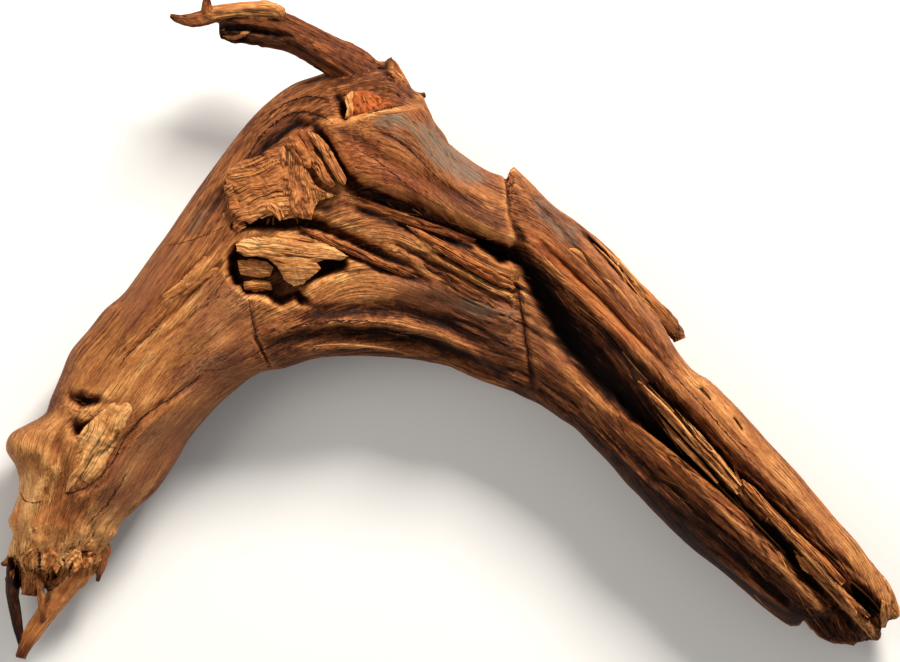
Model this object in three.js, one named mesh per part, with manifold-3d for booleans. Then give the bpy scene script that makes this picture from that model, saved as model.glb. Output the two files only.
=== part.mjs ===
// A piece of driftwood: one bent limb, worn by water, that lies on its back.
// It runs from a broken root foot at the lower left, over a wide knotted bend,
// to a split and hollowed end at the lower right. A thin side branch hooks back
// from the bend. It all grew as one piece of wood, so it is one solid.
import * as THREE from "three";
import { mergeVertices } from "three/addons/utils/BufferGeometryUtils.js";
import Module from "manifold-3d";

const wasm = await Module();
wasm.setup();

// Driving dimensions, in millimetres. Plan points [x, y] are measured from the upper left
// corner of the piece as it is looked down on: x to the right, y towards the viewer.
const LENGTH = 450;
const DEPTH = 331;
const MIDDLE = new THREE.Vector2(224.95, 165.22);

// Fineness of the surface as it is first laid: the step along the limb, the faces over and
// under it, and the rings and sides of a branch. It is then thinned to this many triangles.
const LIMB_STEP = 1.7;
const FACES_OVER = 128;
const FACES_UNDER = 28;
const BRANCH_STEP = 3;
const BRANCH_SIDES = 16;
const TRIANGLES = 12200;

// The limb's outline as ribs laid across it: [outer x, outer y, inner x, inner y].
const RIBS = [
  [5.4, 286, 49.5, 283],
  [3.2, 277.5, 51.6, 275.4],
  [6.2, 267, 57.3, 268],
  [3.9, 260.5, 60.2, 261.5],
  [8, 250, 68, 254.5],
  [9, 240, 75.8, 248],
  [7.3, 233, 80.9, 241.8],
  [2.4, 224.5, 86.8, 233],
  [4.9, 216.8, 90.5, 226.8],
  [12.4, 212.5, 94.6, 219.8],
  [22, 207, 99.6, 213.4],
  [25, 199.6, 104.4, 208],
  [29.8, 188.5, 111.7, 200.3],
  [35.3, 175.6, 118.4, 194.8],
  [44, 165.5, 124, 190.5],
  [52.5, 155, 128, 188],
  [62, 146.5, 131, 186.5],
  [70, 135.5, 135, 185.5],
  [85, 114.5, 142, 184.5],
  [100, 92.5, 150, 182],
  [115, 72.5, 159, 179.5],
  [130, 54.5, 168, 178.5],
  [145, 42.5, 176, 178],
  [160, 37, 183, 178],
  [176, 31, 190, 178.5],
  [190, 30.5, 197.5, 179],
  [197, 31, 202, 179.5],
  [204, 40.5, 207, 180],
  [208.5, 47.5, 211, 180.6],
  [211.5, 54, 215, 181.5],
  [214.6, 61.2, 219, 182.2],
  [220, 68.8, 225, 183.7],
  [224, 74.6, 229, 185.7],
  [234, 82.3, 238, 189.7],
  [244.3, 88.2, 247.5, 193.2],
  [252.6, 90.4, 254.5, 195.7],
  [255.2, 86.6, 257, 196.8],
  [257, 84.2, 259, 197.8],
  [260.2, 86, 262, 199.3],
  [266, 91.5, 268, 202],
  [274, 100, 274.5, 206],
  [280, 105, 280, 210],
  [289, 111, 287.5, 215],
  [300, 121.5, 295.5, 223],
  [310, 134, 301, 228.5],
  [320, 147, 307, 235],
  [330, 161, 313, 242],
  [337, 174, 319, 248],
  [345, 184.5, 325, 254.5],
  [354, 190, 331, 260.5],
  [362.5, 198.5, 338, 267.5],
  [372.5, 209, 347, 275.5],
  [385, 222.5, 355, 281.5],
  [397.5, 235.5, 363, 288],
  [407.5, 247, 371.5, 295.5],
  [417.5, 259, 379.5, 302.5],
  [427.5, 270, 386.5, 308],
  [435, 280, 391.5, 311.5],
  [441.4, 288.2, 395.3, 313.3],
  [446.2, 295.6, 398.8, 312.6],
  [448.4, 301.8, 400.4, 310],
  [449.8, 307.5, 402.6, 310.6],
  [445, 310.2, 407, 315.8],
  [441.7, 313.8, 412.8, 320.8],
  [440, 318.5, 422.5, 322.5],
  [437.5, 319.8, 430, 322.2],
];

// The limb's thickness at chosen ribs: [rib, height of the rib line, rise over it,
// drop under it, place of the crown across it, dip of its outer end].
const STATIONS = [
  [0, 24, 12, 12, 0, 0],
  [3, 25, 19, 19, 0, 0],
  [7, 26, 24, 24, 0.1, 0],
  [12, 29, 26, 24, 0.1, 0],
  [17, 31, 29, 26, 0.1, 2],
  [21, 32, 33, 29, 0, 2],
  [26, 33, 36, 30, 0.15, -4],
  [32, 33, 35, 28, 0.25, -2],
  [38, 32, 34, 27, 0.3, 0],
  [44, 31, 33, 26, 0.35, 0],
  [50, 29, 30, 25, 0.35, 2],
  [56, 27, 26, 24, 0.3, 2],
  [59, 26, 22, 21, 0.2, 0],
  [62, 25, 15, 14, 0, 0],
  [65, 24, 6, 6, 0, 0],
];
const SQUARENESS = 2.3;

// Three low points under the piece carry it: [x, y, radius, how far it swells down].
const FEET = [
  [40, 232, 17, 6],
  [180, 64, 17, 9],
  [404, 285, 17, 8],
];

// The hollow of the broken root foot, and the split end of the far limb.
const MOUTH_DEPTH = 14;
const FAR_END_DEPTH = 1;

// A feature of the relief, with the plan box that it stays inside.
const feature = (form, points, reach, sizes) => ({
  form,
  points,
  ...sizes,
  box: new THREE.Box2()
    .setFromPoints(points.map(([x, y]) => new THREE.Vector2(x, y)))
    .expandByScalar(reach),
});

// A furrow is a rounded groove along a line: [x, y, half width, depth] at each point.
// A negative depth makes it a ridge.
const furrow = (points) => feature("furrow", points, Math.max(...points.map((row) => row[2])));

// A ledge is a split with its raised side on the left of the line's direction, as seen
// on the plan: [x, y, height] at each point. The step dies away over the fade distance.
const ledge = (fade, points) => feature("ledge", points, 4 * fade, { fade });

// A plate is a patch raised by its height, or sunk if that is negative, inside an
// outline of [x, y] points, with a side wall as wide as its edge.
const plate = (height, edge, points) => feature("plate", points, edge, { height, edge });

const RELIEF = [
  // Smooth tongue of outer wood from the branch's root down to the crack across the limb.
  plate(8, 5, [
    [161, 64], [166, 71], [170, 80], [175.5, 87.5], [183, 93], [193, 97], [204, 99.5],
    [213, 102], [224, 107.5], [237, 113.5], [248, 119], [257.5, 123], [257.5, 117], [255, 106],
    [253.5, 92], [262, 80], [235, 64], [212, 36], [205, 52], [188, 55.5], [174, 60], [165, 60],
  ]),
  // Hollow that runs round the upper knot and on beneath the tongue.
  furrow([
    [104, 104, 4, 1.5], [118, 88, 5, 3], [131, 73, 5, 4], [142, 66, 4, 4], [148, 62, 4, 5],
    [157, 63, 4, 5], [163.5, 72, 4, 6], [169, 84, 4.5, 7], [176, 93, 5, 8], [190, 100.5, 5.5, 9],
    [206, 106, 5, 8], [222, 112, 4, 7], [236, 118, 4.5, 8], [246, 124, 6, 10], [253, 127, 5, 9],
  ]),
  // Crumbled upper knot, with a curled nose of wood on its right.
  plate(7, 4, [
    [113, 85], [118, 82.5], [131, 76], [136, 73], [144, 74], [146, 67], [151, 65.5], [159, 69],
    [163, 74], [166, 81], [173, 91.5], [166, 94], [169, 98], [158, 101], [158.5, 108],
    [151, 107], [141, 109.5], [131, 107.5], [125, 108], [120, 102.5], [114, 98],
  ]),
  furrow([
    [147.5, 77, 2.4, -1.5], [148.5, 69, 3, -4], [154, 67.5, 3.4, -4.5], [161, 73.5, 3.4, -4.5],
    [166, 83, 3.4, -4.5], [171, 91, 3, -4],
  ]),
  furrow([[153.5, 71, 2, 3], [155.5, 79, 2.6, 5], [160, 87, 2.6, 4], [165.5, 93, 2, 2]]),
  // Deep crack under the upper knot, drawn out to the right.
  furrow([
    [117, 113.5, 2.5, 5], [124, 112, 4, 10], [132, 111.5, 5, 13], [145, 111.5, 5.5, 14],
    [157, 112, 5, 12], [166, 116, 4, 9], [176, 120, 3.8, 9], [187, 125.5, 3.6, 8], [196, 130, 3.2, 6],
    [207, 134, 2.6, 4], [214, 141, 2.2, 2],
  ]),
  furrow([
    [152, 117, 2.4, 3], [166, 123, 2.8, 5], [180, 129.5, 3.2, 6], [195, 136, 3, 5], [209, 140, 2.4, 3],
  ]),
  // Rotted socket round the lower knot, and the knot's loose wood standing in it.
  plate(-14, 4.4, [
    [115, 129], [119, 123], [130, 127], [142, 130], [160, 129.5], [172.5, 128.5], [173, 135],
    [165, 137], [155, 141.5], [151, 146], [155, 152], [151, 153], [148, 149.5], [142, 153],
    [137.5, 151.5], [133, 147.5], [124, 147], [117, 141], [114.5, 135],
  ]),
  plate(16, 4.4, [
    [119.5, 122], [131, 119.5], [148, 117.5], [161, 121], [169, 125], [174, 129.5], [168, 130.5],
    [159, 131.5], [161, 134], [155, 139.5], [151.5, 142.5], [147, 142.5], [141.5, 139], [139.5, 133.5],
    [134, 129], [123.5, 128.5], [120, 125],
  ]),
  plate(11, 2.6, [[121, 131], [127, 130], [134, 131.5], [136.5, 138], [129, 138.5], [121, 137]]),
  plate(9, 2.6, [[123.5, 142], [129, 140.5], [135.5, 141.5], [135.5, 144.5], [128, 145], [123.5, 144.5]]),
  // Fissures of the fibrous wood between the bend and the crack.
  furrow([
    [174, 103, 2, 2], [190, 108.5, 2.4, 3], [205, 114, 2.4, 3], [220, 118.5, 2.4, 4], [235, 124, 2.4, 4],
  ]),
  furrow([
    [200, 113, 1.8, 2], [211, 118, 2.2, 5], [219, 121, 2.4, 6], [222, 128, 2.4, 5], [232, 134, 2.4, 5],
    [245, 141, 2.4, 5], [258, 146, 2.2, 5],
  ]),
  furrow([
    [198, 122, 1.8, 2], [212, 130, 2.2, 4], [228, 138, 2.2, 3], [244, 147, 2.4, 4], [257, 153, 1.8, 2],
  ]),
  // Split between the tongue's tip and the fibres, opening into the great hollow.
  plate(-12, 4, [[237, 118], [248, 122], [258, 124], [260, 131], [250, 132], [243, 125]]),
  // Edge of the far limb's sound outer face, with the hollow below it.
  ledge(15, [
    [258, 114, 2], [266, 127, 5], [280, 141, 7], [300, 161, 7], [320, 181, 7], [335, 196, 7],
    [352.5, 212.5, 7], [370, 230, 6], [387.5, 246, 6], [405, 264, 5], [420, 281, 4], [430, 293, 1],
  ]),
  // Great hollow where the heartwood has gone.
  furrow([
    [258, 124, 4, 8], [266, 138, 8, 14], [276, 155, 11, 18], [289, 174, 13, 18], [303, 190, 12, 16],
    [320, 206, 9, 14], [337, 222, 7, 12], [350, 235, 5, 8], [368, 252, 3, 2],
  ]),
  // Channels and thin upstanding slivers down the far limb.
  furrow([[320, 193, 2.4, -4], [334, 207, 2.6, -7], [350, 224, 2.6, -7], [368, 244, 2.4, -4]]),
  furrow([
    [325, 192, 2.5, 3], [345, 212, 3.4, 8], [363, 231, 3.4, 9], [382, 250, 3.4, 8], [402, 271, 3.6, 8],
    [420, 291, 3.8, 7], [430, 302, 3, 3],
  ]),
  furrow([[371, 241, 2.4, -4], [385, 256, 3, -7], [400, 274, 3, -7], [418, 294, 3, -7], [436, 317, 2.6, -3]]),
  furrow([
    [310, 200, 3, 2], [330, 220, 3.6, 6], [345, 231, 4, 7], [360, 245, 4, 8], [380, 262, 4.6, 10],
    [393, 273, 5, 13], [400, 284, 4.4, 9], [412, 298, 4.4, 8], [424, 311, 4, 5],
  ]),
  furrow([
    [335, 228, 3.2, -3], [352, 246, 3.6, -6], [371, 265, 3.6, -6], [391, 284, 3.4, -5],
    [410, 305, 2.8, -3],
  ]),
  furrow([[318, 238, 2.2, 1], [342, 257, 2.8, 4], [366, 276, 2.8, 4], [392, 301, 2.8, 4]]),
  // Rot hole in the far end.
  furrow([[427, 294, 5, 8], [431, 300, 6, 15], [436, 306, 5, 12]]),
  // Undercut along the inside of the bend, over a lighter lip.
  ledge(14, [
    [250, 190, 1], [238, 176, 4], [225, 166, 6], [200, 159, 6], [172, 159, 5], [150, 162, 3], [134, 167, 1],
  ]),
  furrow([
    [134, 172.5, 4, 1.5], [150, 168, 5, 3], [170, 166, 5, 5], [195, 167, 5, 7], [215, 171, 5.5, 8],
    [232, 179, 5, 6], [250, 188, 4, 3],
  ]),
  // Ledge of sound wood down the near limb, and the two knot holes beside it.
  ledge(22, [
    [104, 187, 0.5], [87, 198, 2], [75, 206, 3.5], [64, 218.5, 4], [56, 229, 4.5], [52, 238.5, 5],
    [46, 242, 5], [39, 242, 4], [34, 247, 2],
  ]),
  furrow([[36, 198, 3, 5], [42, 200.5, 4, 9], [50, 200, 2.4, 3]]),
  furrow([[38, 211, 3, 4], [40, 215.5, 4, 9], [46, 211, 2.4, 4]]),
  // Broad flutes down the near limb.
  furrow([[112, 118, 6, 1], [92, 142, 8, 2.5], [72, 168, 8, 2.5], [56, 196, 6, 1]]),
  furrow([[124, 158, 5, 1], [104, 172, 7, 2.5], [82, 192, 6, 1.5]]),
  furrow([[84, 150, 4, -1], [98, 138, 5, -2.5], [110, 130, 4, -1]]),
  // Ridges that run down from the knuckle at the root foot.
  furrow([[12, 222, 7, -2], [22, 226, 5, -2], [26, 235, 4, -2.5], [18, 250, 4, -2.5], [8, 264, 3, -1]]),
  furrow([[30, 220, 4, 1], [33, 236, 4, 2.5], [26, 252, 4, 2.5], [20, 264, 3, 1]]),
  // Holes in the ragged mouth of the root foot.
  furrow([[24, 291, 3, 5], [27, 287, 4, 9], [30, 284, 2, 4]]),
  furrow([[6, 281, 4, 4], [9, 287, 4, 7]]),
  // Hollow behind the broken root of the side branch, and the seam that leaves it.
  furrow([[168, 48, 3, 3], [172, 54, 4, 10], [173, 61, 3, 6]]),
  furrow([[174, 58.5, 2, 4], [188, 56.5, 2, 4], [198, 54.5, 2, 4], [209, 53.5, 1.6, 2]]),
  // Crack right across the limb.
  furrow([[251, 90, 2, 4], [254, 96, 2, 5], [254.5, 106, 2, 5], [257.5, 118, 2, 5], [258, 123, 2, 4]]),
  furrow([[258, 131, 2, 4], [259, 150, 2, 5], [263, 173, 2, 5], [266, 195, 2, 2]]),
];

// Furrows under the piece, where it isn't seen from above: [turn round the limb in degrees
// below its outer edge, first rib, last rib, width in degrees, depth].
const UNDER_FURROWS = [
  [38, 4, 30, 12, 4],
  [66, 10, 47, 10, 5],
  [96, 2, 22, 11, 4.5],
  [112, 26, 61, 12, 6],
  [140, 12, 39, 12, 4],
  [78, 45, 63, 11, 5],
];

const smooth = (v) => {
  const q = Math.min(1, Math.max(0, v));
  return q * q * (3 - 2 * q);
};

const signedPower = (v, power) => Math.sign(v) * Math.abs(v) ** power;

// A smooth line through the rows of a table, at row number t.
function alongRows(rows, t) {
  const last = rows.length - 1;
  const i = Math.min(last - 1, Math.max(0, Math.floor(t)));
  const f = t - i;
  const near = [i - 1, i, i + 1, i + 2].map((n) => rows[Math.min(last, Math.max(0, n))]);
  return near[1].map((_, k) => {
    const [a, b, c, d] = near.map((row) => row[k]);
    return b + 0.5 * f * (c - a + f * (2 * a - 5 * b + 4 * c - d + f * (3 * (b - c) + d - a)));
  });
}

// The thickness table at rib t.
function thicknessAt(t) {
  const next = Math.max(1, STATIONS.findIndex((row) => row[0] >= t));
  const [from, to] = [STATIONS[next - 1], STATIONS[next]];
  const share = smooth((t - from[0]) / (to[0] - from[0]));
  return from.slice(1).map((v, k) => v + share * (to[k + 1] - v));
}

// Nearest place on a line of points: its distance, the side it is on (1 on the left), the row there.
function nearestOn(points, x, y, closed) {
  let best = { distance: Infinity };
  const count = closed ? points.length : points.length - 1;
  for (let i = 0; i < count; i++) {
    const [p, q] = [points[i], points[(i + 1) % points.length]];
    const [dx, dy] = [q[0] - p[0], q[1] - p[1]];
    const share = Math.min(1, Math.max(0, ((x - p[0]) * dx + (y - p[1]) * dy) / (dx * dx + dy * dy)));
    const distance = Math.hypot(x - p[0] - share * dx, y - p[1] - share * dy);
    if (distance < best.distance)
      best = {
        distance,
        side: dx * (y - p[1]) - dy * (x - p[0]) < 0 ? 1 : -1,
        row: p.map((v, k) => v + share * (q[k] - v)),
      };
  }
  return best;
}

function isInside(points, x, y) {
  let inside = false;
  points.forEach(([px, py], i) => {
    const [qx, qy] = points[(i + 1) % points.length];
    if (py > y !== qy > y && x < px + ((y - py) * (qx - px)) / (qy - py)) inside = !inside;
  });
  return inside;
}

// How far one feature lifts the surface at a plan point.
function lift({ form, points, fade, height, edge }, x, y) {
  const near = nearestOn(points, x, y, form === "plate");
  if (form === "furrow") {
    const [, , width, depth] = near.row;
    const across = near.distance / width;
    return across < 1 ? -depth * (1 - across * across) ** 2 : 0;
  }
  if (form === "ledge") {
    const signed = near.distance * near.side;
    return near.row[2] * smooth(signed / 3 + 0.5) * Math.exp(-Math.max(0, signed) / fade);
  }
  const inward = isInside(points, x, y) ? near.distance : -near.distance;
  return height * smooth(inward / edge + 0.5);
}

// The relief at a plan point, taken as the mean of five places so that steep walls come out even.
const SOFTENING = 0.9;
const FIVE_PLACES = [[0, 0], [1, 0], [-1, 0], [0, 1], [0, -1]].map(([x, y]) => new THREE.Vector2(x, y));

function reliefAt(point) {
  return FIVE_PLACES.reduce((sum, aside) => {
    const place = new THREE.Vector2(point.x, point.y).addScaledVector(aside, SOFTENING);
    const near = RELIEF.filter(({ box }) => box.containsPoint(place));
    return near.reduce((total, found) => total + lift(found, place.x, place.y), sum);
  }, 0) / FIVE_PLACES.length;
}

// Slow swellings of the wood, all the way round.
function swell({ x, y }, turn) {
  return (
    1.1 * Math.sin(x / 19 + y / 31 + 2 * turn) +
    0.9 * Math.sin(x / 37 - y / 23 - 3 * turn + 1.3) +
    0.6 * Math.sin(x / 11 - y / 15 + 5 * turn + 0.4)
  );
}

// How far the furrows under the limb cut in.
function underFurrow(t, turn) {
  const below = THREE.MathUtils.radToDeg(2 * Math.PI - turn);
  return UNDER_FURROWS.reduce((sum, [centre, first, last, width, depth]) => {
    const wander = centre + 7 * Math.sin(0.45 * t + centre);
    const across = Math.abs(below - wander) / width;
    const ends = smooth((t - first) / 3) * smooth((last - t) / 3);
    return across < 1 ? sum + depth * ends * (1 - across * across) ** 2 : sum;
  }, 0);
}

// The plain limb, before relief: a point at rib t, turned round it from its outer edge over the top.
function limbPoint(t, turn) {
  const [outerX, outerY, innerX, innerY] = alongRows(RIBS, t);
  const [height, rise, drop, crown, dip] = thicknessAt(t);
  const round = signedPower(Math.cos(turn), 2 / SQUARENESS);
  const across = (round + crown) / (1 + crown * round);
  const up = signedPower(Math.sin(turn), 2 / SQUARENESS);
  return new THREE.Vector3(
    (outerX + innerX) / 2 + (across * (outerX - innerX)) / 2,
    (outerY + innerY) / 2 + (across * (outerY - innerY)) / 2,
    height - dip * across + up * (up > 0 ? rise : drop),
  );
}

// The limb's surface with its relief: seen from above it is cut mostly straight down.
function limbSurface(t, turn) {
  const reach = 0.02;
  const point = limbPoint(t, turn);
  const round = limbPoint(t, turn + reach).sub(limbPoint(t, turn - reach));
  const end = RIBS.length - 1;
  const along = limbPoint(Math.min(end, t + reach), turn).sub(limbPoint(Math.max(0, t - reach), turn));
  const normal = along.cross(round).normalize();
  const flank = Math.abs(Math.sin(turn));
  const over = smooth((normal.z + 0.1) / 0.45);
  const under = smooth((-normal.z - 0.1) / 0.4);
  const cut = new THREE.Vector3(0.4 * normal.x, 0.4 * normal.y, 0.4 * normal.z + 0.6).normalize();
  const bulge = swell(point, turn) * flank - underFurrow(t, turn) * under;
  const moved = point.clone().addScaledVector(normal, bulge).addScaledVector(cut, reliefAt(point) * over);
  for (const [x, y, radius, fall] of FEET)
    moved.z -= fall * under * Math.exp(-((point.x - x) ** 2 + (point.y - y) ** 2) / (radius * radius));
  return moved;
}

// Where the limb's sections stand: every rib, with more between ribs that lie far apart.
function sectionPlaces() {
  const places = [];
  for (let i = 0; i < RIBS.length - 1; i++) {
    const [a, b] = [RIBS[i], RIBS[i + 1]];
    const span = Math.max(Math.hypot(b[0] - a[0], b[1] - a[1]), Math.hypot(b[2] - a[2], b[3] - a[3]));
    const steps = Math.max(1, Math.round(span / LIMB_STEP));
    for (let k = 0; k < steps; k++) places.push(i + k / steps);
  }
  return [...places, RIBS.length - 1];
}

// From plan to the part's own frame: the middle of the plan is the origin and z is up.
const toFrame = (p) => new THREE.Vector3(p.x - MIDDLE.x, MIDDLE.y - p.y, p.z);

// A closed skin over rings of points, each end drawn to one point. Each four-sided face is
// split along its shorter diagonal.
function skin(rings, startPoint, endPoint) {
  const sides = rings[0].length;
  const points = [startPoint, ...rings.flat(), endPoint].map(toFrame);
  const index = [];
  const at = (ring, k) => 1 + ring * sides + (k % sides);
  for (let k = 0; k < sides; k++) {
    index.push(0, at(0, k + 1), at(0, k));
    for (let r = 0; r < rings.length - 1; r++) {
      const [a, b, c, d] = [at(r, k), at(r, k + 1), at(r + 1, k + 1), at(r + 1, k)];
      const falling = points[b].distanceTo(points[d]) < points[a].distanceTo(points[c]);
      index.push(...(falling ? [a, b, d, b, c, d] : [a, b, c, a, c, d]));
    }
    index.push(points.length - 1, at(rings.length - 1, k), at(rings.length - 1, k + 1));
  }
  const geometry = new THREE.BufferGeometry().setFromPoints(points);
  return geometry.setIndex(index);
}

const middle = (ring) => ring.reduce((sum, p) => sum.add(p), new THREE.Vector3()).divideScalar(ring.length);

function limb() {
  const turns = [];
  for (let k = 0; k < FACES_OVER; k++) turns.push((Math.PI * k) / FACES_OVER);
  for (let k = 0; k < FACES_UNDER; k++) turns.push(Math.PI * (1 + k / FACES_UNDER));
  const rings = sectionPlaces().map((t) => turns.map((turn) => limbSurface(t, turn)));
  const [first, last] = [middle(rings[0]), middle(rings.at(-1))];
  const mouth = first.clone().add(new THREE.Vector3(0.3, -0.95, 0).multiplyScalar(MOUTH_DEPTH));
  const farEnd = last.clone().add(new THREE.Vector3(-FAR_END_DEPTH, -FAR_END_DEPTH, 0));
  return skin(rings, mouth, farEnd);
}

// Branches, prongs and slivers: [x, y, z, half width on the plan, half height] along each one.
const BRANCHES = {
  // Side branch, from its root in the bend to its broken end.
  hook: [
    [207, 64, 34, 5, 7], [198.4, 53, 38, 9.6, 12], [187, 43, 40, 11.4, 14], [174.5, 33.2, 42, 11, 13],
    [162, 26, 44, 10.2, 11.5], [149, 19.4, 45, 9.2, 10.5], [137, 14.5, 46, 9.7, 11],
    [126, 12.1, 47, 10.4, 10.5], [116, 11.9, 48, 10, 9.5], [109.8, 12.2, 48, 7.4, 7],
  ],
  // Shelf of paler wood along its outer side, that runs on as a thin twig to a point.
  twig: [
    [142.4, 8.6, 52, 3.2, 4], [136, 6.4, 54, 4.9, 5], [122, 6.6, 55, 5.2, 5.5], [108, 8.6, 55, 5.6, 5],
    [101, 10.2, 54, 4.2, 4], [93, 10.9, 54, 3.3, 3.2], [86, 8.6, 54.5, 0.9, 1],
  ],
  stub: [[105, 9, 55, 3.8, 3.8], [104, 4.5, 57, 3.2, 3.2], [104.7, 0.8, 58, 2.6, 2.2]],
  // Splintered hump on the branch's root, and a tooth of torn wood below it.
  hump: [[202, 44, 46, 4, 6], [197.2, 35.6, 48, 3.6, 4.5], [194, 30.2, 48, 2.4, 3]],
  nub: [[201, 55, 44, 5, 7], [207.5, 50, 46, 3.6, 5], [213, 47.6, 46, 1.5, 2.4]],
  // Prongs of the root foot: the dark one and the broad one, joined at their tips.
  darkProng: [
    [12, 270, 23, 4, 7], [7.8, 283, 22, 5.2, 7], [6, 296, 20, 3.8, 5], [7.4, 308, 18, 3, 4],
    [9.2, 318, 17, 2.4, 3.4], [10.6, 324, 17, 2.4, 3],
  ],
  broadProng: [
    [47, 264, 25, 9, 9], [41.4, 280, 23, 9, 8], [33.4, 291, 22, 7.2, 7], [26.5, 301.8, 20, 6.4, 6],
    [20, 311, 19, 5.2, 5], [14, 319, 18, 4.4, 4.6], [10.8, 325, 17, 3.8, 4.2], [9.6, 329.6, 16.5, 2.6, 3],
  ],
  tooth: [[52, 272, 24, 4, 5], [50.5, 281, 23, 3, 4], [48.4, 291, 22, 1, 1.4]],
  sliver: [
    [19, 285, 27, 2.4, 3], [20.4, 296, 27, 2.2, 2.6], [20.9, 306, 25, 2, 2.4], [21.2, 311.5, 23, 1, 1.4],
  ],
  // Torn lip of the foot's mouth, and the splinter that stands out on its left.
  lip: [[27, 270, 24, 16, 11], [25.6, 281, 24, 14, 9], [23.6, 288.5, 23, 11, 7], [21.4, 294, 22, 6.5, 5]],
  fringe: [[16, 280, 26, 7, 7], [14.4, 290, 25, 5.6, 5], [13.8, 297.8, 23, 4.2, 3]],
  leftSplinter: [[9, 275, 24, 3.4, 4], [4, 280.6, 24, 2.2, 3], [0.3, 282.4, 24, 0.8, 1]],
  // Strip that has sprung away from the outer face of the far limb.
  strip: [
    [281, 108.4, 34, 2.4, 5], [290, 115.6, 34, 3.2, 6.5], [300.4, 125.2, 34, 4, 7.5],
    [311, 136.2, 34, 4, 7.5], [321.6, 148.2, 33, 4.4, 7], [331.8, 159.4, 32, 4.8, 6],
    [337.6, 166, 31, 4.4, 5], [339.6, 170.2, 31, 2.8, 3],
  ],
  // Splintered teeth of the far end.
  lowerTip: [[384, 296, 30, 6, 8], [392, 305, 29, 4.6, 6], [397.4, 311.2, 28, 2.4, 3]],
  splitTip: [[420, 300, 34, 4, 6], [430, 310, 32, 4, 5], [437.6, 317.6, 30, 2.8, 3.4]],
};

// A tapering stick along a path: its rings stand square to the path on the plan.
function branch(rows) {
  const spans = rows.slice(1).map(([x, y], i) => Math.hypot(x - rows[i][0], y - rows[i][1]));
  const length = spans.reduce((sum, span) => sum + span, 0);
  const steps = Math.max(rows.length - 1, Math.round(length / BRANCH_STEP));
  const place = (share) => alongRows(rows, share * (rows.length - 1));
  const rings = [];
  for (let i = 0; i <= steps; i++) {
    const share = i / steps;
    const [x, y, z, halfWidth, halfHeight] = place(share);
    const [ahead, behind] = [place(Math.min(1, share + 0.02)), place(Math.max(0, share - 0.02))];
    const way = new THREE.Vector2(ahead[0] - behind[0], ahead[1] - behind[1]).normalize();
    const ring = [];
    for (let k = 0; k < BRANCH_SIDES; k++) {
      const turn = (2 * Math.PI * k) / BRANCH_SIDES;
      const bulge = 1 + 0.06 * Math.sin(3 * turn + 9 * share) + 0.05 * Math.sin(2 * turn - 17 * share);
      const aside = Math.cos(turn) * halfWidth * bulge;
      const up = Math.sin(turn) * halfHeight * bulge;
      ring.push(new THREE.Vector3(x + way.y * aside, y - way.x * aside, z + up));
    }
    rings.push(ring);
  }
  return skin(rings, middle(rings[0]), middle(rings.at(-1)));
}

// A closed geometry as a solid that can be joined and cut.
function solid(geometry) {
  const bare = geometry.clone();
  bare.deleteAttribute("normal");
  bare.deleteAttribute("uv");
  const merged = mergeVertices(bare, 1e-4);
  const mesh = new wasm.Mesh({
    numProp: 3,
    vertProperties: merged.attributes.position.array,
    triVerts: new Uint32Array(merged.index.array),
  });
  return new wasm.Manifold(mesh);
}

// A solid's surface as a geometry, and the largest body of a solid.
function surface(body) {
  const { vertProperties, triVerts } = body.getMesh();
  const geometry = new THREE.BufferGeometry();
  geometry.setAttribute("position", new THREE.BufferAttribute(new Float32Array(vertProperties), 3));
  return geometry.setIndex(new THREE.BufferAttribute(new Uint32Array(triVerts), 1));
}

const largest = (body) => body.decompose().sort((a, b) => b.volume() - a.volume())[0];

// The sum of squared distances to a set of planes, as the ten terms of its formula.
function planeTerms({ x, y, z }, d, weight) {
  const terms = [x * x, x * y, x * z, x * d, y * y, y * z, y * d, z * z, z * d, d * d];
  return terms.map((term) => term * weight);
}

const planeError = (q, { x, y, z }) =>
  x * (q[0] * x + 2 * (q[1] * y + q[2] * z + q[3])) +
  y * (q[4] * y + 2 * (q[5] * z + q[6])) +
  z * (q[7] * z + 2 * q[8]) +
  q[9];

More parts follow.
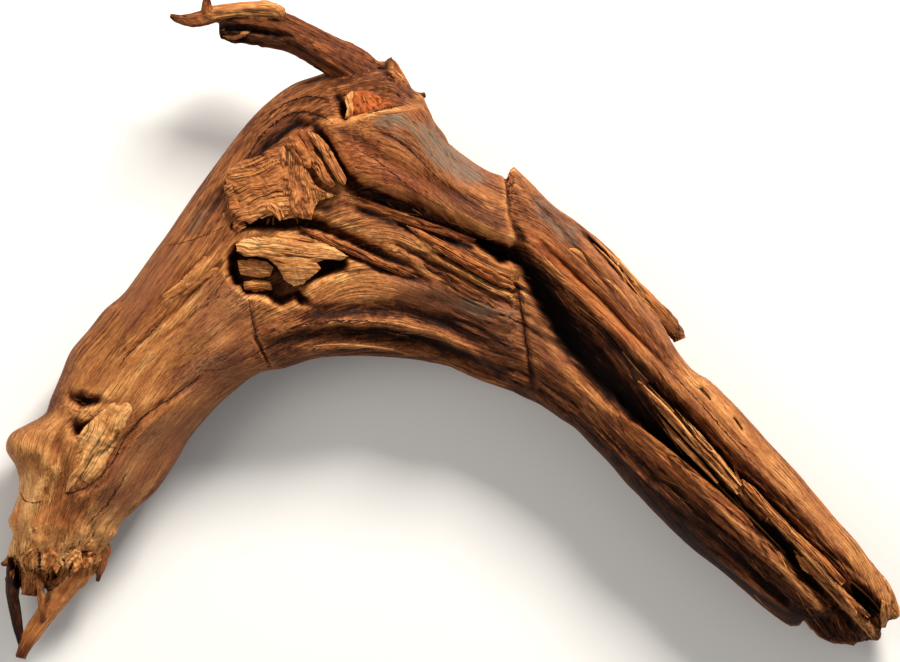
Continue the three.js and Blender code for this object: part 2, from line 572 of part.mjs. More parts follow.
// Thins a closed mesh. The two ends of an edge are drawn together where that moves the surface
// least, so that flat wood gets few large triangles and cracks and ridges keep their small ones.
function thinned(geometry, target) {
  const edgeWeight = 0.002;
  const flattest = 0.15;
  const position = geometry.attributes.position;
  const points = [];
  for (let i = 0; i < position.count; i++)
    points.push(new THREE.Vector3().fromBufferAttribute(position, i));
  const faces = new Map();
  const facesAt = points.map(() => new Set());
  const terms = points.map(() => new Array(10).fill(0));
  const normalOf = ([a, b, c], swap, place) => {
    const [p, q, r] = [a, b, c].map((v) => (v === swap ? place : points[v]));
    return new THREE.Vector3().crossVectors(q.clone().sub(p), r.clone().sub(p));
  };
  for (let i = 0; i < geometry.index.count; i += 3) {
    const face = [0, 1, 2].map((k) => geometry.index.getX(i + k));
    const normal = normalOf(face);
    const area = normal.length() / 2;
    if (area > 0) normal.divideScalar(2 * area);
    const added = planeTerms(normal, -normal.dot(points[face[0]]), area);
    face.forEach((v) => {
      facesAt[v].add(i);
      added.forEach((term, k) => (terms[v][k] += term));
    });
    faces.set(i, face);
  }
  const neighbours = (v) => new Set([...facesAt[v]].flatMap((f) => faces.get(f)).filter((w) => w !== v));

  // Where an edge's two ends would meet, and what that costs.
  const meeting = (a, b) => {
    const sum = terms[a].map((term, k) => term + terms[b][k]);
    const middlePoint = points[a].clone().lerp(points[b], 0.5);
    const length = points[a].distanceToSquared(points[b]);
    return [points[a], points[b], middlePoint]
      .map((place) => ({ a, b, place, cost: planeError(sum, place) + edgeWeight * length }))
      .sort((p, q) => p.cost - q.cost)[0];
  };

  // The mesh stays closed and no face turns over.
  const allowed = ({ a, b, place }) => {
    const ofB = neighbours(b);
    if ([...neighbours(a)].filter((v) => ofB.has(v)).length !== 2) return false;
    return [a, b].every((v) =>
      [...facesAt[v]].every((f) => {
        const face = faces.get(f);
        if (face.includes(a) && face.includes(b)) return true;
        const [before, after] = [normalOf(face), normalOf(face, v, place)];
        return before.dot(after) > 0.25 * before.length() * after.length();
      }),
    );
  };

  const draw = ({ a, b, place }) => {
    for (const f of [...facesAt[b]]) {
      const face = faces.get(f);
      if (face.includes(a)) {
        face.forEach((v) => facesAt[v].delete(f));
        faces.delete(f);
      } else {
        face[face.indexOf(b)] = a;
        facesAt[a].add(f);
      }
    }
    facesAt[b].clear();
    points[a] = place.clone();
    terms[a] = terms[a].map((term, k) => term + terms[b][k]);
  };

  for (let before = Infinity; faces.size > target && faces.size < before; ) {
    before = faces.size;
    const edges = [];
    for (const [p, q, r] of faces.values())
      for (const [a, b] of [[p, q], [q, r], [r, p]]) if (a < b) edges.push(meeting(a, b));
    edges.sort((p, q) => p.cost - q.cost);
    const held = new Set();
    for (const edge of edges.slice(0, edges.length * flattest)) {
      if (faces.size <= target) break;
      if (held.has(edge.a) || held.has(edge.b) || !allowed(edge)) continue;
      draw(edge);
      neighbours(edge.a).add(edge.a).forEach((v) => held.add(v));
    }
  }

  const used = [...new Set([...faces.values()].flat())];
  const numbers = new Map(used.map((v, i) => [v, i]));
  const thin = new THREE.BufferGeometry().setFromPoints(used.map((v) => points[v]));
  return thin.setIndex([...faces.values()].flat().map((v) => numbers.get(v)));
}

// All of the wood in one body, worn flat where its three low points meet the ground.
function driftwood() {
  const below = new THREE.BoxGeometry(2 * LENGTH, 2 * DEPTH, 40).translate(0, 0, -20);
  let whole = solid(limb());
  for (const rows of Object.values(BRANCHES)) whole = whole.add(solid(branch(rows)));
  const thin = solid(thinned(surface(largest(whole)), TRIANGLES));
  const geometry = surface(largest(thin.subtract(solid(below))));
  geometry.computeVertexNormals();
  return geometry;
}

const wood = new THREE.MeshStandardMaterial({ color: 0x8a5633, roughness: 0.72, metalness: 0 });
const mesh = new THREE.Mesh(driftwood(), wood);
mesh.name = "driftwood";

const part = new THREE.Group();
part.add(mesh);
export default part;
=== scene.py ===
import math

import bpy
import numpy as np
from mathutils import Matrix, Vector
from mathutils.bvhtree import BVHTree


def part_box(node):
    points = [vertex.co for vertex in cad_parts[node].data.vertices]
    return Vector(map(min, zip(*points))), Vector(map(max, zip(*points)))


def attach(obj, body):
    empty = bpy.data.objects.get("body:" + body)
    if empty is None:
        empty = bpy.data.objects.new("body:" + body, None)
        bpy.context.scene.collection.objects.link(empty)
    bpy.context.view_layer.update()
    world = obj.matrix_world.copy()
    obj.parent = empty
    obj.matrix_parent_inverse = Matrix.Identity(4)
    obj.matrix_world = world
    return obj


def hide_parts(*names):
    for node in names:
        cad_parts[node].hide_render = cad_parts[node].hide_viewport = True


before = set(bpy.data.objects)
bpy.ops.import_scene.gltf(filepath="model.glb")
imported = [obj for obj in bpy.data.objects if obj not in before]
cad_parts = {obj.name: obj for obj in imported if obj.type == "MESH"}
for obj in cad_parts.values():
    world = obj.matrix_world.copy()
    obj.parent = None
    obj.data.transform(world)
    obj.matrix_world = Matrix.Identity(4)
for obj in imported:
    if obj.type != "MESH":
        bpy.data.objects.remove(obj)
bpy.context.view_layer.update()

# The limb: one bent, water-worn limb that lies on its back. It is wide and knotted at the
# bend, its heartwood has rotted out of the far half, and the root foot at the near end is
# torn open. Its skin is laid rib by rib round the limb, then cut and lifted where it is worn.
# Plan points are [x, y] in mm from the piece's upper left corner, as it is looked down on.
MIDDLE = (224.95, 165.22)

# Ribs across the limb: [outer x, outer y, inner x, inner y].
RIBS = np.array([
    [5.4, 286, 49.5, 283], [3.2, 277.5, 51.6, 275.4], [6.2, 267, 57.3, 268], [3.9, 260.5, 60.2, 261.5],
    [8, 250, 68, 254.5], [9, 240, 75.8, 248], [7.3, 233, 80.9, 241.8], [2.4, 224.5, 86.8, 233],
    [4.9, 216.8, 90.5, 226.8], [12.4, 212.5, 94.6, 219.8], [22, 207, 99.6, 213.4], [25, 199.6, 104.4, 208],
    [29.8, 188.5, 111.7, 200.3], [35.3, 175.6, 118.4, 194.8], [44, 165.5, 124, 190.5], [52.5, 155, 128, 188],
    [62, 146.5, 131, 186.5], [70, 135.5, 135, 185.5], [85, 114.5, 142, 184.5], [100, 92.5, 150, 182],
    [115, 72.5, 159, 179.5], [130, 54.5, 168, 178.5], [145, 42.5, 176, 178], [160, 37, 183, 178],
    [176, 31, 190, 178.5], [190, 30.5, 197.5, 179], [197, 31, 202, 179.5], [204, 40.5, 207, 180],
    [208.5, 47.5, 211, 180.6], [211.5, 54, 215, 181.5], [214.6, 61.2, 219, 182.2], [220, 68.8, 225, 183.7],
    [224, 74.6, 229, 185.7], [234, 82.3, 238, 189.7], [244.3, 88.2, 247.5, 193.2],
    [252.6, 90.4, 254.5, 195.7],
    [255.2, 86.6, 257, 196.8], [257, 84.2, 259, 197.8], [260.2, 86, 262, 199.3], [266, 91.5, 268, 202],
    [274, 100, 274.5, 206], [280, 105, 280, 210], [289, 111, 287.5, 215], [300, 121.5, 295.5, 223],
    [310, 134, 301, 228.5], [320, 147, 307, 235], [330, 161, 313, 242], [337, 174, 319, 248],
    [345, 184.5, 325, 254.5], [354, 190, 331, 260.5], [362.5, 198.5, 338, 267.5], [372.5, 209, 347, 275.5],
    [385, 222.5, 355, 281.5], [397.5, 235.5, 363, 288], [407.5, 247, 371.5, 295.5],
    [417.5, 259, 379.5, 302.5],
    [427.5, 270, 386.5, 308], [435, 280, 391.5, 311.5], [441.4, 288.2, 395.3, 313.3],
    [446.2, 295.6, 398.8, 312.6],
    [448.4, 301.8, 400.4, 310], [449.8, 307.5, 402.6, 310.6], [445, 310.2, 407, 315.8],
    [441.7, 313.8, 412.8, 320.8],
    [440, 318.5, 422.5, 322.5], [437.5, 319.8, 430, 322.2],
])

# The limb's thickness at chosen ribs: [rib, height of the rib line, rise over it, drop under
# it, place of the crown across it, dip of its outer end].
STATIONS = np.array([
    [0, 24, 12, 12, 0, 0], [3, 25, 19, 19, 0, 0], [7, 26, 24, 24, 0.1, 0],
    [12, 29, 26, 24, 0.1, 0], [17, 31, 29, 26, 0.1, 2], [21, 32, 33, 29, 0, 2],
    [26, 33, 36, 30, 0.15, -4], [32, 33, 35, 28, 0.25, -2], [38, 32, 34, 27, 0.3, 0],
    [44, 31, 33, 26, 0.35, 0], [50, 29, 30, 25, 0.35, 2], [56, 27, 26, 24, 0.3, 2],
    [59, 26, 22, 21, 0.2, 0], [62, 25, 15, 14, 0, 0], [65, 24, 6, 6, 0, 0],
])
# A section is a squarish oval, about this many times as wide as it is high.
SQUARENESS = 2.3
FLATNESS = 1.9

# Sections stand closer together where the knots are.
PLAIN_STEP = 1.75
KNOTTED_STEP = 1.15
KNOTTED_RIBS = (17, 37)
FACES_OVER = 141
FACES_UNDER = 28

# The torn mouth of the foot: the way that it faces, and how deep it is. Its first rings are torn
# by these shares, and its lip shrinks inwards by the others.
MOUTH = (0.3, -0.95, 14)
RIM_SHARES = [1, 0.8, 0.6, 0.4, 0.2]
LIP_SHARES = [0.94, 0.84, 0.72, 0.58, 0.43, 0.28, 0.14]
FAR_END_DEPTH = 1

# Three low points carry it: [x, y, radius, how far it swells down].
FEET = [(40, 232, 17, 6), (180, 64, 17, 9), (404, 285, 17, 8)]

# Furrows under it: [degrees below the outer edge, first rib, last rib, width in degrees, depth].
UNDER_FURROWS = [
    (38, 4, 30, 12, 4), (66, 10, 47, 10, 5), (96, 2, 22, 11, 4.5), (112, 26, 61, 12, 6),
    (140, 12, 39, 12, 4), (78, 45, 63, 11, 5),
]


def mark(form, points, reach, *sizes):
    """A mark on the skin: its form, points and sizes, and the corners of the area that it reaches."""
    points = np.array(points, float)
    return form, points, sizes, points[:, :2].min(0) - reach, points[:, :2].max(0) + reach


def furrow(points):
    """A rounded groove along [x, y, half width, depth] points, or a ridge if the depth is negative."""
    return mark("furrow", points, max(row[2] for row in points))


def ledge(fade, points):
    """A split along [x, y, height] points, raised on its left and dying away over the fade distance."""
    return mark("ledge", points, 4 * fade, fade)


def plate(height, edge, points):
    """A patch raised by its height, or sunk if that is negative, inside an outline of [x, y] points."""
    return mark("plate", points, edge, height, edge)


RELIEF = [
    # Smooth tongue of outer wood from the branch's root down to the crack across the limb.
    plate(8, 5, [
        [161, 64], [166, 71], [170, 80], [175.5, 87.5], [183, 93], [193, 97], [204, 99.5],
        [213, 102], [224, 107.5], [237, 113.5], [248, 119], [257.5, 123], [257.5, 117], [255, 106],
        [253.5, 92], [262, 80], [235, 64], [212, 36], [205, 52], [188, 55.5], [174, 60], [165, 60],
    ]),
    # Hollow that runs round the upper knot and on beneath the tongue.
    furrow([
        [104, 104, 4, 1.5], [118, 88, 5, 3], [131, 73, 5, 4], [142, 66, 4, 4], [148, 62, 4, 5],
        [157, 63, 4, 5], [163.5, 72, 4, 6], [169, 84, 4.5, 7], [176, 93, 5, 8], [190, 100.5, 5.5, 9],
        [206, 106, 5, 8], [222, 112, 4, 7], [236, 118, 4.5, 8], [246, 124, 6, 10], [253, 127, 5, 9],
    ]),
    # Deep crack under the upper knot, drawn out to the right.
    furrow([
        [117, 113.5, 2.5, 5], [124, 112, 4, 10], [132, 111.5, 5, 13], [145, 111.5, 5.5, 14],
        [157, 112, 5, 12], [166, 116, 4, 9], [176, 120, 3.8, 9], [187, 125.5, 3.6, 8], [196, 130, 3.2, 6],
        [207, 134, 2.6, 4], [214, 141, 2.2, 2],
    ]),
    furrow([
        [152, 117, 2.4, 3], [166, 123, 2.8, 5], [180, 129.5, 3.2, 6], [195, 136, 3, 5], [209, 140, 2.4, 3],
    ]),
    # Rotted socket round the lower knot.
    plate(-14, 4.4, [
        [115, 129], [119, 123], [130, 127], [142, 130], [160, 129.5], [172.5, 128.5], [173, 135],
        [165, 137], [155, 141.5], [151, 146], [155, 152], [151, 153], [148, 149.5], [142, 153],
        [137.5, 151.5], [133, 147.5], [124, 147], [117, 141], [114.5, 135],
    ]),
    # Fissures of the fibrous wood between the bend and the crack.
    furrow([
        [174, 103, 2, 2], [190, 108.5, 2.4, 3], [205, 114, 2.4, 3], [220, 118.5, 2.4, 4],
        [235, 124, 2.4, 4],
    ]),
    furrow([
        [200, 113, 1.8, 2], [211, 118, 2.2, 5], [219, 121, 2.4, 6], [222, 128, 2.4, 5], [232, 134, 2.4, 5],
        [245, 141, 2.4, 5], [258, 146, 2.2, 5],
    ]),
    furrow([
        [198, 122, 1.8, 2], [212, 130, 2.2, 4], [228, 138, 2.2, 3], [244, 147, 2.4, 4], [257, 153, 1.8, 2],
    ]),
    # Split between the tongue's tip and the fibres, opening into the great hollow.
    plate(-12, 4, [[237, 118], [248, 122], [258, 124], [260, 131], [250, 132], [243, 125]]),
    # Edge of the far limb's sound outer face, with the hollow below it.
    ledge(15, [
        [258, 114, 2], [266, 127, 5], [280, 141, 7], [300, 161, 7], [320, 181, 7], [335, 196, 7],
        [352.5, 212.5, 7], [370, 230, 6], [387.5, 246, 6], [405, 264, 5], [420, 281, 4], [430, 293, 1],
    ]),
    # Great hollow where the heartwood has gone.
    furrow([
        [258, 124, 4, 8], [266, 138, 8, 14], [276, 155, 11, 18], [289, 174, 13, 18], [303, 190, 12, 16],
        [320, 206, 9, 14], [337, 222, 7, 12], [350, 235, 5, 8], [368, 252, 3, 2],
    ]),
    # Channels and thin upstanding slivers down the far limb.
    furrow([[320, 193, 2.4, -4], [334, 207, 2.6, -7], [350, 224, 2.6, -7], [368, 244, 2.4, -4]]),
    furrow([
        [325, 192, 2.5, 3], [345, 212, 3.4, 8], [363, 231, 3.4, 9], [382, 250, 3.4, 8], [402, 271, 3.6, 8],
        [420, 291, 3.8, 7], [430, 302, 3, 3],
    ]),
    furrow([
        [371, 241, 2.4, -4], [385, 256, 3, -7], [400, 274, 3, -7], [418, 294, 3, -7], [436, 317, 2.6, -3],
    ]),
    furrow([
        [310, 200, 3, 2], [330, 220, 3.6, 6], [345, 231, 4, 7], [360, 245, 4, 8], [380, 262, 4.6, 10],
        [393, 273, 5, 13], [400, 284, 4.4, 9], [412, 298, 4.4, 8], [424, 311, 4, 5],
    ]),
    furrow([
        [335, 228, 3.2, -3], [352, 246, 3.6, -6], [371, 265, 3.6, -6], [391, 284, 3.4, -5],
        [410, 305, 2.8, -3],
    ]),
    furrow([[318, 238, 2.2, 1], [342, 257, 2.8, 4], [366, 276, 2.8, 4], [392, 301, 2.8, 4]]),
    # Rot hole in the far end.
    furrow([[427, 294, 5, 8], [431, 300, 6, 15], [436, 306, 5, 12]]),
    # Undercut along the inside of the bend, over a lighter lip.
    ledge(14, [
        [250, 190, 1], [238, 176, 4], [225, 166, 6], [200, 159, 6], [172, 159, 5], [150, 162, 3],
        [134, 167, 1],
    ]),
    furrow([
        [134, 172.5, 4, 1.5], [150, 168, 5, 3], [170, 166, 5, 5], [195, 167, 5, 7], [215, 171, 5.5, 8],
        [232, 179, 5, 6], [250, 188, 4, 3],
    ]),
    # Ledge of sound wood down the near limb, and the two knot holes beside it.
    ledge(22, [
        [104, 187, 0.5], [87, 198, 2], [75, 206, 3.5], [64, 218.5, 4], [56, 229, 4.5], [52, 238.5, 5],
        [46, 242, 5], [39, 242, 4], [34, 247, 2],
    ]),
    furrow([[36, 198, 3, 5], [42, 200.5, 4, 9], [50, 200, 2.4, 3]]),
    furrow([[38, 211, 3, 4], [40, 215.5, 4, 9], [46, 211, 2.4, 4]]),
    # Broad flutes down the near limb.
    furrow([[112, 118, 6, 1], [92, 142, 8, 2.5], [72, 168, 8, 2.5], [56, 196, 6, 1]]),
    furrow([[124, 158, 5, 1], [104, 172, 7, 2.5], [82, 192, 6, 1.5]]),
    furrow([[84, 150, 4, -1], [98, 138, 5, -2.5], [110, 130, 4, -1]]),
    # Ridges that run down from the knuckle at the root foot.
    furrow([[12, 222, 7, -2], [22, 226, 5, -2], [26, 235, 4, -2.5], [18, 250, 4, -2.5], [8, 264, 3, -1]]),
    furrow([[30, 220, 4, 1], [33, 236, 4, 2.5], [26, 252, 4, 2.5], [20, 264, 3, 1]]),
    # Holes in the ragged mouth of the root foot.
    furrow([[24, 291, 3, 5], [27, 287, 4, 9], [30, 284, 2, 4]]),
    furrow([[6, 281, 4, 4], [9, 287, 4, 7]]),
    # Hollow behind the broken root of the side branch, and the seam that leaves it.
    furrow([[168, 48, 3, 3], [172, 54, 4, 10], [173, 61, 3, 6]]),
    furrow([[174, 58.5, 2, 4], [188, 56.5, 2, 4], [198, 54.5, 2, 4], [209, 53.5, 1.6, 2]]),
    # Crack right across the limb.
    furrow([
        [251, 90, 1.5, 3], [254, 96, 1.5, 4], [254.5, 106, 1.5, 4], [257.5, 118, 1.6, 4],
        [258, 123, 1.6, 4],
    ]),
    furrow([[258, 131, 1.4, 4], [259, 150, 1.4, 4], [263, 173, 1.4, 4], [266, 195, 1.4, 2]]),
]

# Smaller marks that only the worn skin has: insect slots, seams, folds, flakes and fissures.
FINE_RELIEF = [
    furrow([
        [29, 206, 3, -0.4], [26, 218, 3, -1.4], [23, 232, 3, -1.8], [19, 248, 3, -1.6], [12, 264, 3, -1.2],
        [7, 274, 2, -0.3],
    ]),
    furrow([[31, 214, 2, 0.3], [28.5, 226, 2, 1.1], [26, 240, 2, 1.1], [21, 256, 2, 0.8], [15, 268, 2, 0.2]]),
    furrow([
        [124, 82, 1.6, 0.3], [130, 73, 2, 1.5], [138, 63, 2.2, 2], [150, 57.5, 2.2, 2], [160, 59, 2, 1.6],
        [168, 64, 1.6, 0.4],
    ]),
    furrow([
        [132, 63, 1.4, 0.3], [142, 54, 1.8, 1.4], [154, 50, 1.8, 1.5], [166, 51.5, 1.6, 1.2],
        [173, 56, 1.4, 0.3],
    ]),
    furrow([
        [118, 74, 1.4, 0.3], [126, 63, 1.8, 1.2], [136, 54, 1.8, 1.2], [148, 46, 1.6, 1],
        [158, 43, 1.4, 0.3],
    ]),
    furrow([
        [34, 247, 1.2, 0.6], [44, 242.5, 2, 1.6], [56, 232, 2, 1.8], [64, 219, 2, 1.8], [70, 211, 1.8, 1.6],
        [77, 204, 1.8, 1.6], [84, 200, 1.8, 1.6], [92, 194, 1.8, 1.4], [101, 188, 1.4, 0.4],
    ]),
    ledge(7, [[101, 188, 0.3], [84, 200, 1.6], [70, 211, 2], [56, 232, 2], [46, 242, 0.5]]),
    furrow([[184, 58, 0.8, 1], [190, 56.6, 1.1, 2.2], [196, 55.2, 1.1, 2.2], [202, 53.8, 0.8, 0.8]]),
    furrow([[349.6, 194.6, 1.4, 3], [352.8, 198.4, 1.4, 3]]),
    furrow([[366, 209, 1.2, 3], [369, 213.6, 1.2, 3]]),
    furrow([
        [126, 150, 1, 1], [127, 160, 1.1, 1.8], [128, 169, 1.1, 1.8], [131.5, 176, 1.2, 2],
        [136, 184, 1.1, 1.4],
    ]),
    furrow([[149, 62, 1.6, 1], [138, 70, 1.6, 2], [124, 79, 1.4, 1.5], [108, 96, 1.2, 1]]),
    furrow([[187, 65, 1.1, 1], [196, 70, 1.2, 1.6], [205, 77, 1.1, 1.2], [216, 86, 1, 0.5]]),
    furrow([[173, 68, 4, 1.2], [190, 80, 5, 2], [212, 91, 5, 2], [238, 104, 4, 1.4]]),
    furrow([[264, 98, 1.1, 1.5], [276, 112, 1.3, 2], [290, 128, 1.3, 2], [306, 146, 1.1, 1]]),
    furrow([
        [270, 122, 1.6, 2], [286, 136, 1.8, 4], [304, 154, 1.8, 4], [322, 173, 1.6, 3],
        [334, 185, 1.2, 1.5],
    ]),
    furrow([[290, 124, 3, -1.2], [304, 139, 4, -2.2], [318, 157, 4, -2.2], [332, 173, 3, -1]]),
    furrow([[293, 119, 1.4, 2], [302, 129, 1.6, 4], [312, 140, 1.6, 4], [322, 151, 1.5, 3]]),
    furrow([[345, 197, 1.2, 1], [362, 214, 1.3, 2], [380, 233, 1.3, 2], [398, 252, 1.2, 1]]),
    furrow([[396, 262, 1.2, 1], [410, 272, 1.3, 2], [424, 284, 1.4, 2.5], [432, 290, 1.2, 1]]),
    furrow([[64, 178, 1.8, 1], [80, 162, 2, 2.4], [98, 146, 2, 3], [112, 131, 1.6, 2]]),
    furrow([[80, 150, 1.5, 1], [94, 137, 1.6, 2.4], [106, 127, 1.6, 2.4], [112, 120, 1.2, 1]]),
    furrow([[72, 176, 1.4, 1], [86, 166, 1.4, 1.6], [104, 153, 1.4, 1.6]]),
    furrow([[214, 147, 1.4, 1], [228, 152, 1.4, 2], [244, 158, 1.4, 2], [260, 166, 1.2, 1]]),
    furrow([[190, 152, 1.4, 1], [210, 157, 1.4, 2], [232, 166, 1.4, 2], [250, 177, 1.2, 1]]),
    furrow([[296, 207, 1.4, 1], [320, 231, 1.6, 2.5], [346, 254, 1.6, 2.5], [370, 272, 1.4, 1]]),
    furrow([[346, 268, 1.6, -1], [366, 284, 1.8, -2.4], [384, 298, 1.6, -2], [394, 306, 1.4, -1]]),
    furrow([[300, 218, 2, -1], [326, 243, 2.4, -2.5], [352, 266, 2.2, -2], [372, 282, 1.8, -1]]),
    furrow([[150, 173.5, 1.6, -1.5], [172, 172, 1.8, -2.5], [196, 174, 1.8, -2.5], [214, 178, 1.6, -1.5]]),
    furrow([[60, 214, 1.1, 1], [54, 222, 1.2, 1.6], [46, 230, 1.1, 1]]),
    furrow([[44, 222, 1.2, 1], [40, 232, 1.4, 2.2], [36, 242, 1.3, 2]]),
    furrow([
        [100, 190, 0.9, 1], [85, 200.5, 1.2, 2], [74, 209, 1.3, 2.6], [65, 220.5, 1.4, 3],
        [57.5, 231, 1.4, 3], [53.5, 240, 1.5, 3.4], [46, 244, 1.5, 3.4], [38.5, 243.5, 1.3, 3],
    ]),
    furrow([[33, 242, 1.4, 2], [35, 246.5, 1.6, 4]]),
    furrow([[50, 200, 1.2, 1], [57, 202, 1.4, 2.4], [63, 199, 1.1, 1.4]]),
    furrow([[43, 206, 1.2, 1.4], [49, 209, 1.3, 2], [54, 205, 1.1, 1]]),
    ledge(5, [[40, 196, 0.5], [52, 199, 1.5], [60, 204, 1], [66, 196, 0.5]]),
    ledge(6, [[222, 128, 0.5], [236, 133, 2], [250, 140, 2.4], [258, 144, 1]]),
    ledge(7, [[150, 152, 0.5], [165, 153, 1.6], [184, 151.5, 2], [204, 147, 1.4], [214, 149, 0.5]]),
    ledge(6, [[78, 160, 0.4], [90, 147, 1.8], [104, 132, 2.2], [111, 124, 1]]),
    ledge(8, [[262, 104, 0.4], [280, 124, 1.6], [300, 145, 2], [322, 170, 1.6], [336, 184, 0.5]]),
]

# Outlines of the smooth outer wood, for its finish.
TONGUE = RELIEF[0][1]
OUTER_FACE = [
    [257, 84], [270, 95], [290, 112], [310, 133], [330, 158], [345, 183], [365, 200], [390, 227],
    [420, 262], [446, 297], [447, 307], [430, 291], [405, 262], [387, 244], [370, 228], [352, 210],
    [335, 194], [320, 179], [300, 159], [280, 139], [266, 125], [259, 112],
]

# How smooth the water has left the wood: patches of plate(share, edge, outline).
SMOOTH = [
    plate(0.75, 12, [
        [262, 192], [300, 222], [345, 260], [384, 294], [404, 308], [396, 322], [340, 284], [300, 242],
        [262, 208],
    ]),
    plate(0.8, 8, TONGUE), plate(0.6, 6, OUTER_FACE),
    plate(0.7, 10, [
        [5, 222], [12, 212], [30, 206], [40, 209], [34, 225], [28, 245], [18, 262], [6, 272], [9, 240],
    ]),
    plate(0.4, 8, [[50, 245], [60, 225], [80, 205], [105, 192], [116, 197], [95, 222], [75, 245], [58, 262]]),
    plate(0.5, 6, [[155, 144], [180, 137], [204, 141], [214, 148], [190, 151], [165, 152]]),
]

# Where rot has left it crumbly.
ROUGH = [
    plate(0.7, 5, [[34, 194], [46, 192], [60, 196], [58, 206], [50, 216], [40, 220], [35, 208]]),
    plate(0.5, 4, [[52, 228], [60, 214], [70, 206], [64, 222], [55, 234]]),
]

# Weathered patch on the back of the bend, grey and darker than the rest.
BACK_PATCH = [[91, 116], [98, 104], [106, 94], [111, 92], [110, 100], [103, 110], [95, 119]]

# Where the wood is pale, grey, mauve, reddish and dark, in the same form; some of the dark is painted shade.
PALE = [
    plate(0.6, 3, [[100, 132], [106, 126], [112, 122], [110, 130], [104, 138], [96, 144], [90, 146]]),
    plate(0.6, 3, [
        [28, 206], [24.5, 218], [21.5, 232], [17, 248], [10, 264], [14, 264], [21, 249], [25, 233],
        [28, 219],
    ]),
    plate(0.9, 10, [[4, 216], [28, 208], [32, 240], [24, 264], [4, 272]]),
    plate(0.5, 6, [[151, 147], [158, 139], [170, 136], [200, 142], [212, 148], [186, 152], [160, 153]]),
    plate(0.9, 10, [
        [5, 218], [12, 213], [30, 206], [36, 210], [33, 225], [29, 240], [24, 256], [14, 270],
        [6, 276], [6, 265], [9, 250], [9, 235], [4, 227],
    ]),
    plate(0.5, 10, [[28, 205], [40, 182], [58, 172], [66, 186], [60, 202], [50, 214], [40, 222], [32, 214]]),
    # Pale ochre wood at the root foot's end, brightened further as painted light where it faces away from the
    # key light.
    plate(1.5, 12, [
        [2, 258], [20, 260], [36, 264], [46, 254], [62, 248], [62, 262], [56, 284], [30, 296], [0, 296],
    ]),
    plate(0.75, 16, [[58, 204], [70, 160], [92, 136], [120, 150], [118, 172], [98, 190], [80, 206]]),
    plate(0.6, 9, [[2, 236], [14, 226], [26, 236], [24, 256], [8, 270]]),
    plate(0.7, 14, [
        [60, 228], [78, 205], [100, 186], [124, 168], [128, 182], [110, 198], [90, 222], [70, 246],
        [58, 252],
    ]),
    plate(0.3, 12, [[60, 170], [80, 140], [104, 108], [114, 112], [110, 130], [92, 156], [72, 182]]),
    plate(0.9, 4, [[54, 254], [62, 246], [70, 240], [78, 239], [72, 248], [62, 255], [57, 262]]),
    plate(0.75, 2.5, [[76, 219], [79, 212], [84, 205], [87, 207], [80, 216]]),
    plate(0.6, 3, [[90, 228], [94, 216], [100, 208], [102, 210], [96, 222]]),
    plate(0.35, 6, [
        [340, 182], [362, 199], [385, 223], [420, 262], [446, 297], [447, 306], [430, 290],
        [405, 262], [385, 241], [365, 220], [350, 205], [340, 194],
    ]),
    plate(0.6, 5, [
        [291, 119], [303, 128], [320, 148], [337, 172], [333, 176], [318, 160], [300, 140], [290, 128],
    ]),
    plate(0.4, 3, [[257, 84], [268, 93], [282, 106], [290, 113], [286, 114], [272, 102], [260, 92]]),
    plate(0.45, 3, [[236, 160], [262, 166], [263, 172], [245, 169], [236, 165]]),
    plate(0.45, 3, [[84, 150], [96, 138], [108, 128], [111, 130], [98, 142], [88, 151]]),
    plate(0.5, 3, [[206, 98], [222, 104], [240, 112], [256, 119], [257, 122], [236, 113], [214, 103]]),
    plate(0.45, 2.5, [[258, 92], [280, 124], [300, 148], [330, 181], [333, 188], [300, 156], [270, 122]]),
    plate(1.1, 6, [[42, 226], [50, 213], [58, 206], [65, 205], [60, 218], [52, 231], [45, 236], [40, 233]]),
    plate(1.5, 7, [[6, 240], [16, 233], [25, 238], [23, 254], [12, 264], [5, 256]]),
    plate(2, 5, [[30, 278], [38, 270], [50, 267], [54, 274], [47, 288], [36, 298]]),
    plate(1, 6, [[58, 238], [66, 226], [76, 214], [80, 218], [72, 232], [62, 246]]),
]
GREY = [
    plate(0.6, 4, BACK_PATCH),
    plate(0.9, 7, [
        [186, 62], [198, 57], [212, 65], [224, 76], [238, 88], [243, 94], [232, 95], [218, 87], [204, 76],
        [190, 67],
    ]),
    plate(0.7, 5, [[264, 99], [272, 99], [288, 117], [290, 126], [280, 123], [268, 110]]),
    plate(0.8, 8, [
        [205, 140], [225, 143], [245, 150], [258, 155], [261, 168], [245, 161], [225, 155], [206, 150],
    ]),
    plate(0.5, 8, [[88, 186], [100, 173], [118, 168], [130, 176], [122, 186], [105, 194], [92, 200]]),
]
MAUVE = [
    plate(0.8, 8, [
        [104, 140], [116, 140], [126, 150], [128, 160], [112, 164], [98, 170], [90, 176], [96, 160],
    ]),
    plate(0.7, 6, [[60, 158], [74, 138], [84, 124], [94, 122], [86, 140], [74, 156], [66, 166]]),
    plate(0.8, 9, [
        [50, 243], [60, 226], [76, 210], [96, 200], [106, 204], [92, 228], [74, 246], [58, 258], [48, 262],
    ]),
    plate(0.6, 9, [[84, 190], [104, 168], [122, 158], [130, 176], [118, 190], [100, 200]]),
    plate(0.7, 8, [[196, 138], [220, 141], [258, 152], [264, 172], [252, 178], [225, 160], [200, 152]]),
    plate(0.6, 5, [[258, 128], [270, 140], [282, 160], [290, 184], [272, 184], [262, 160]]),
    plate(0.6, 6, [[130, 66], [142, 58], [152, 58], [146, 66], [134, 74], [120, 84]]),
]
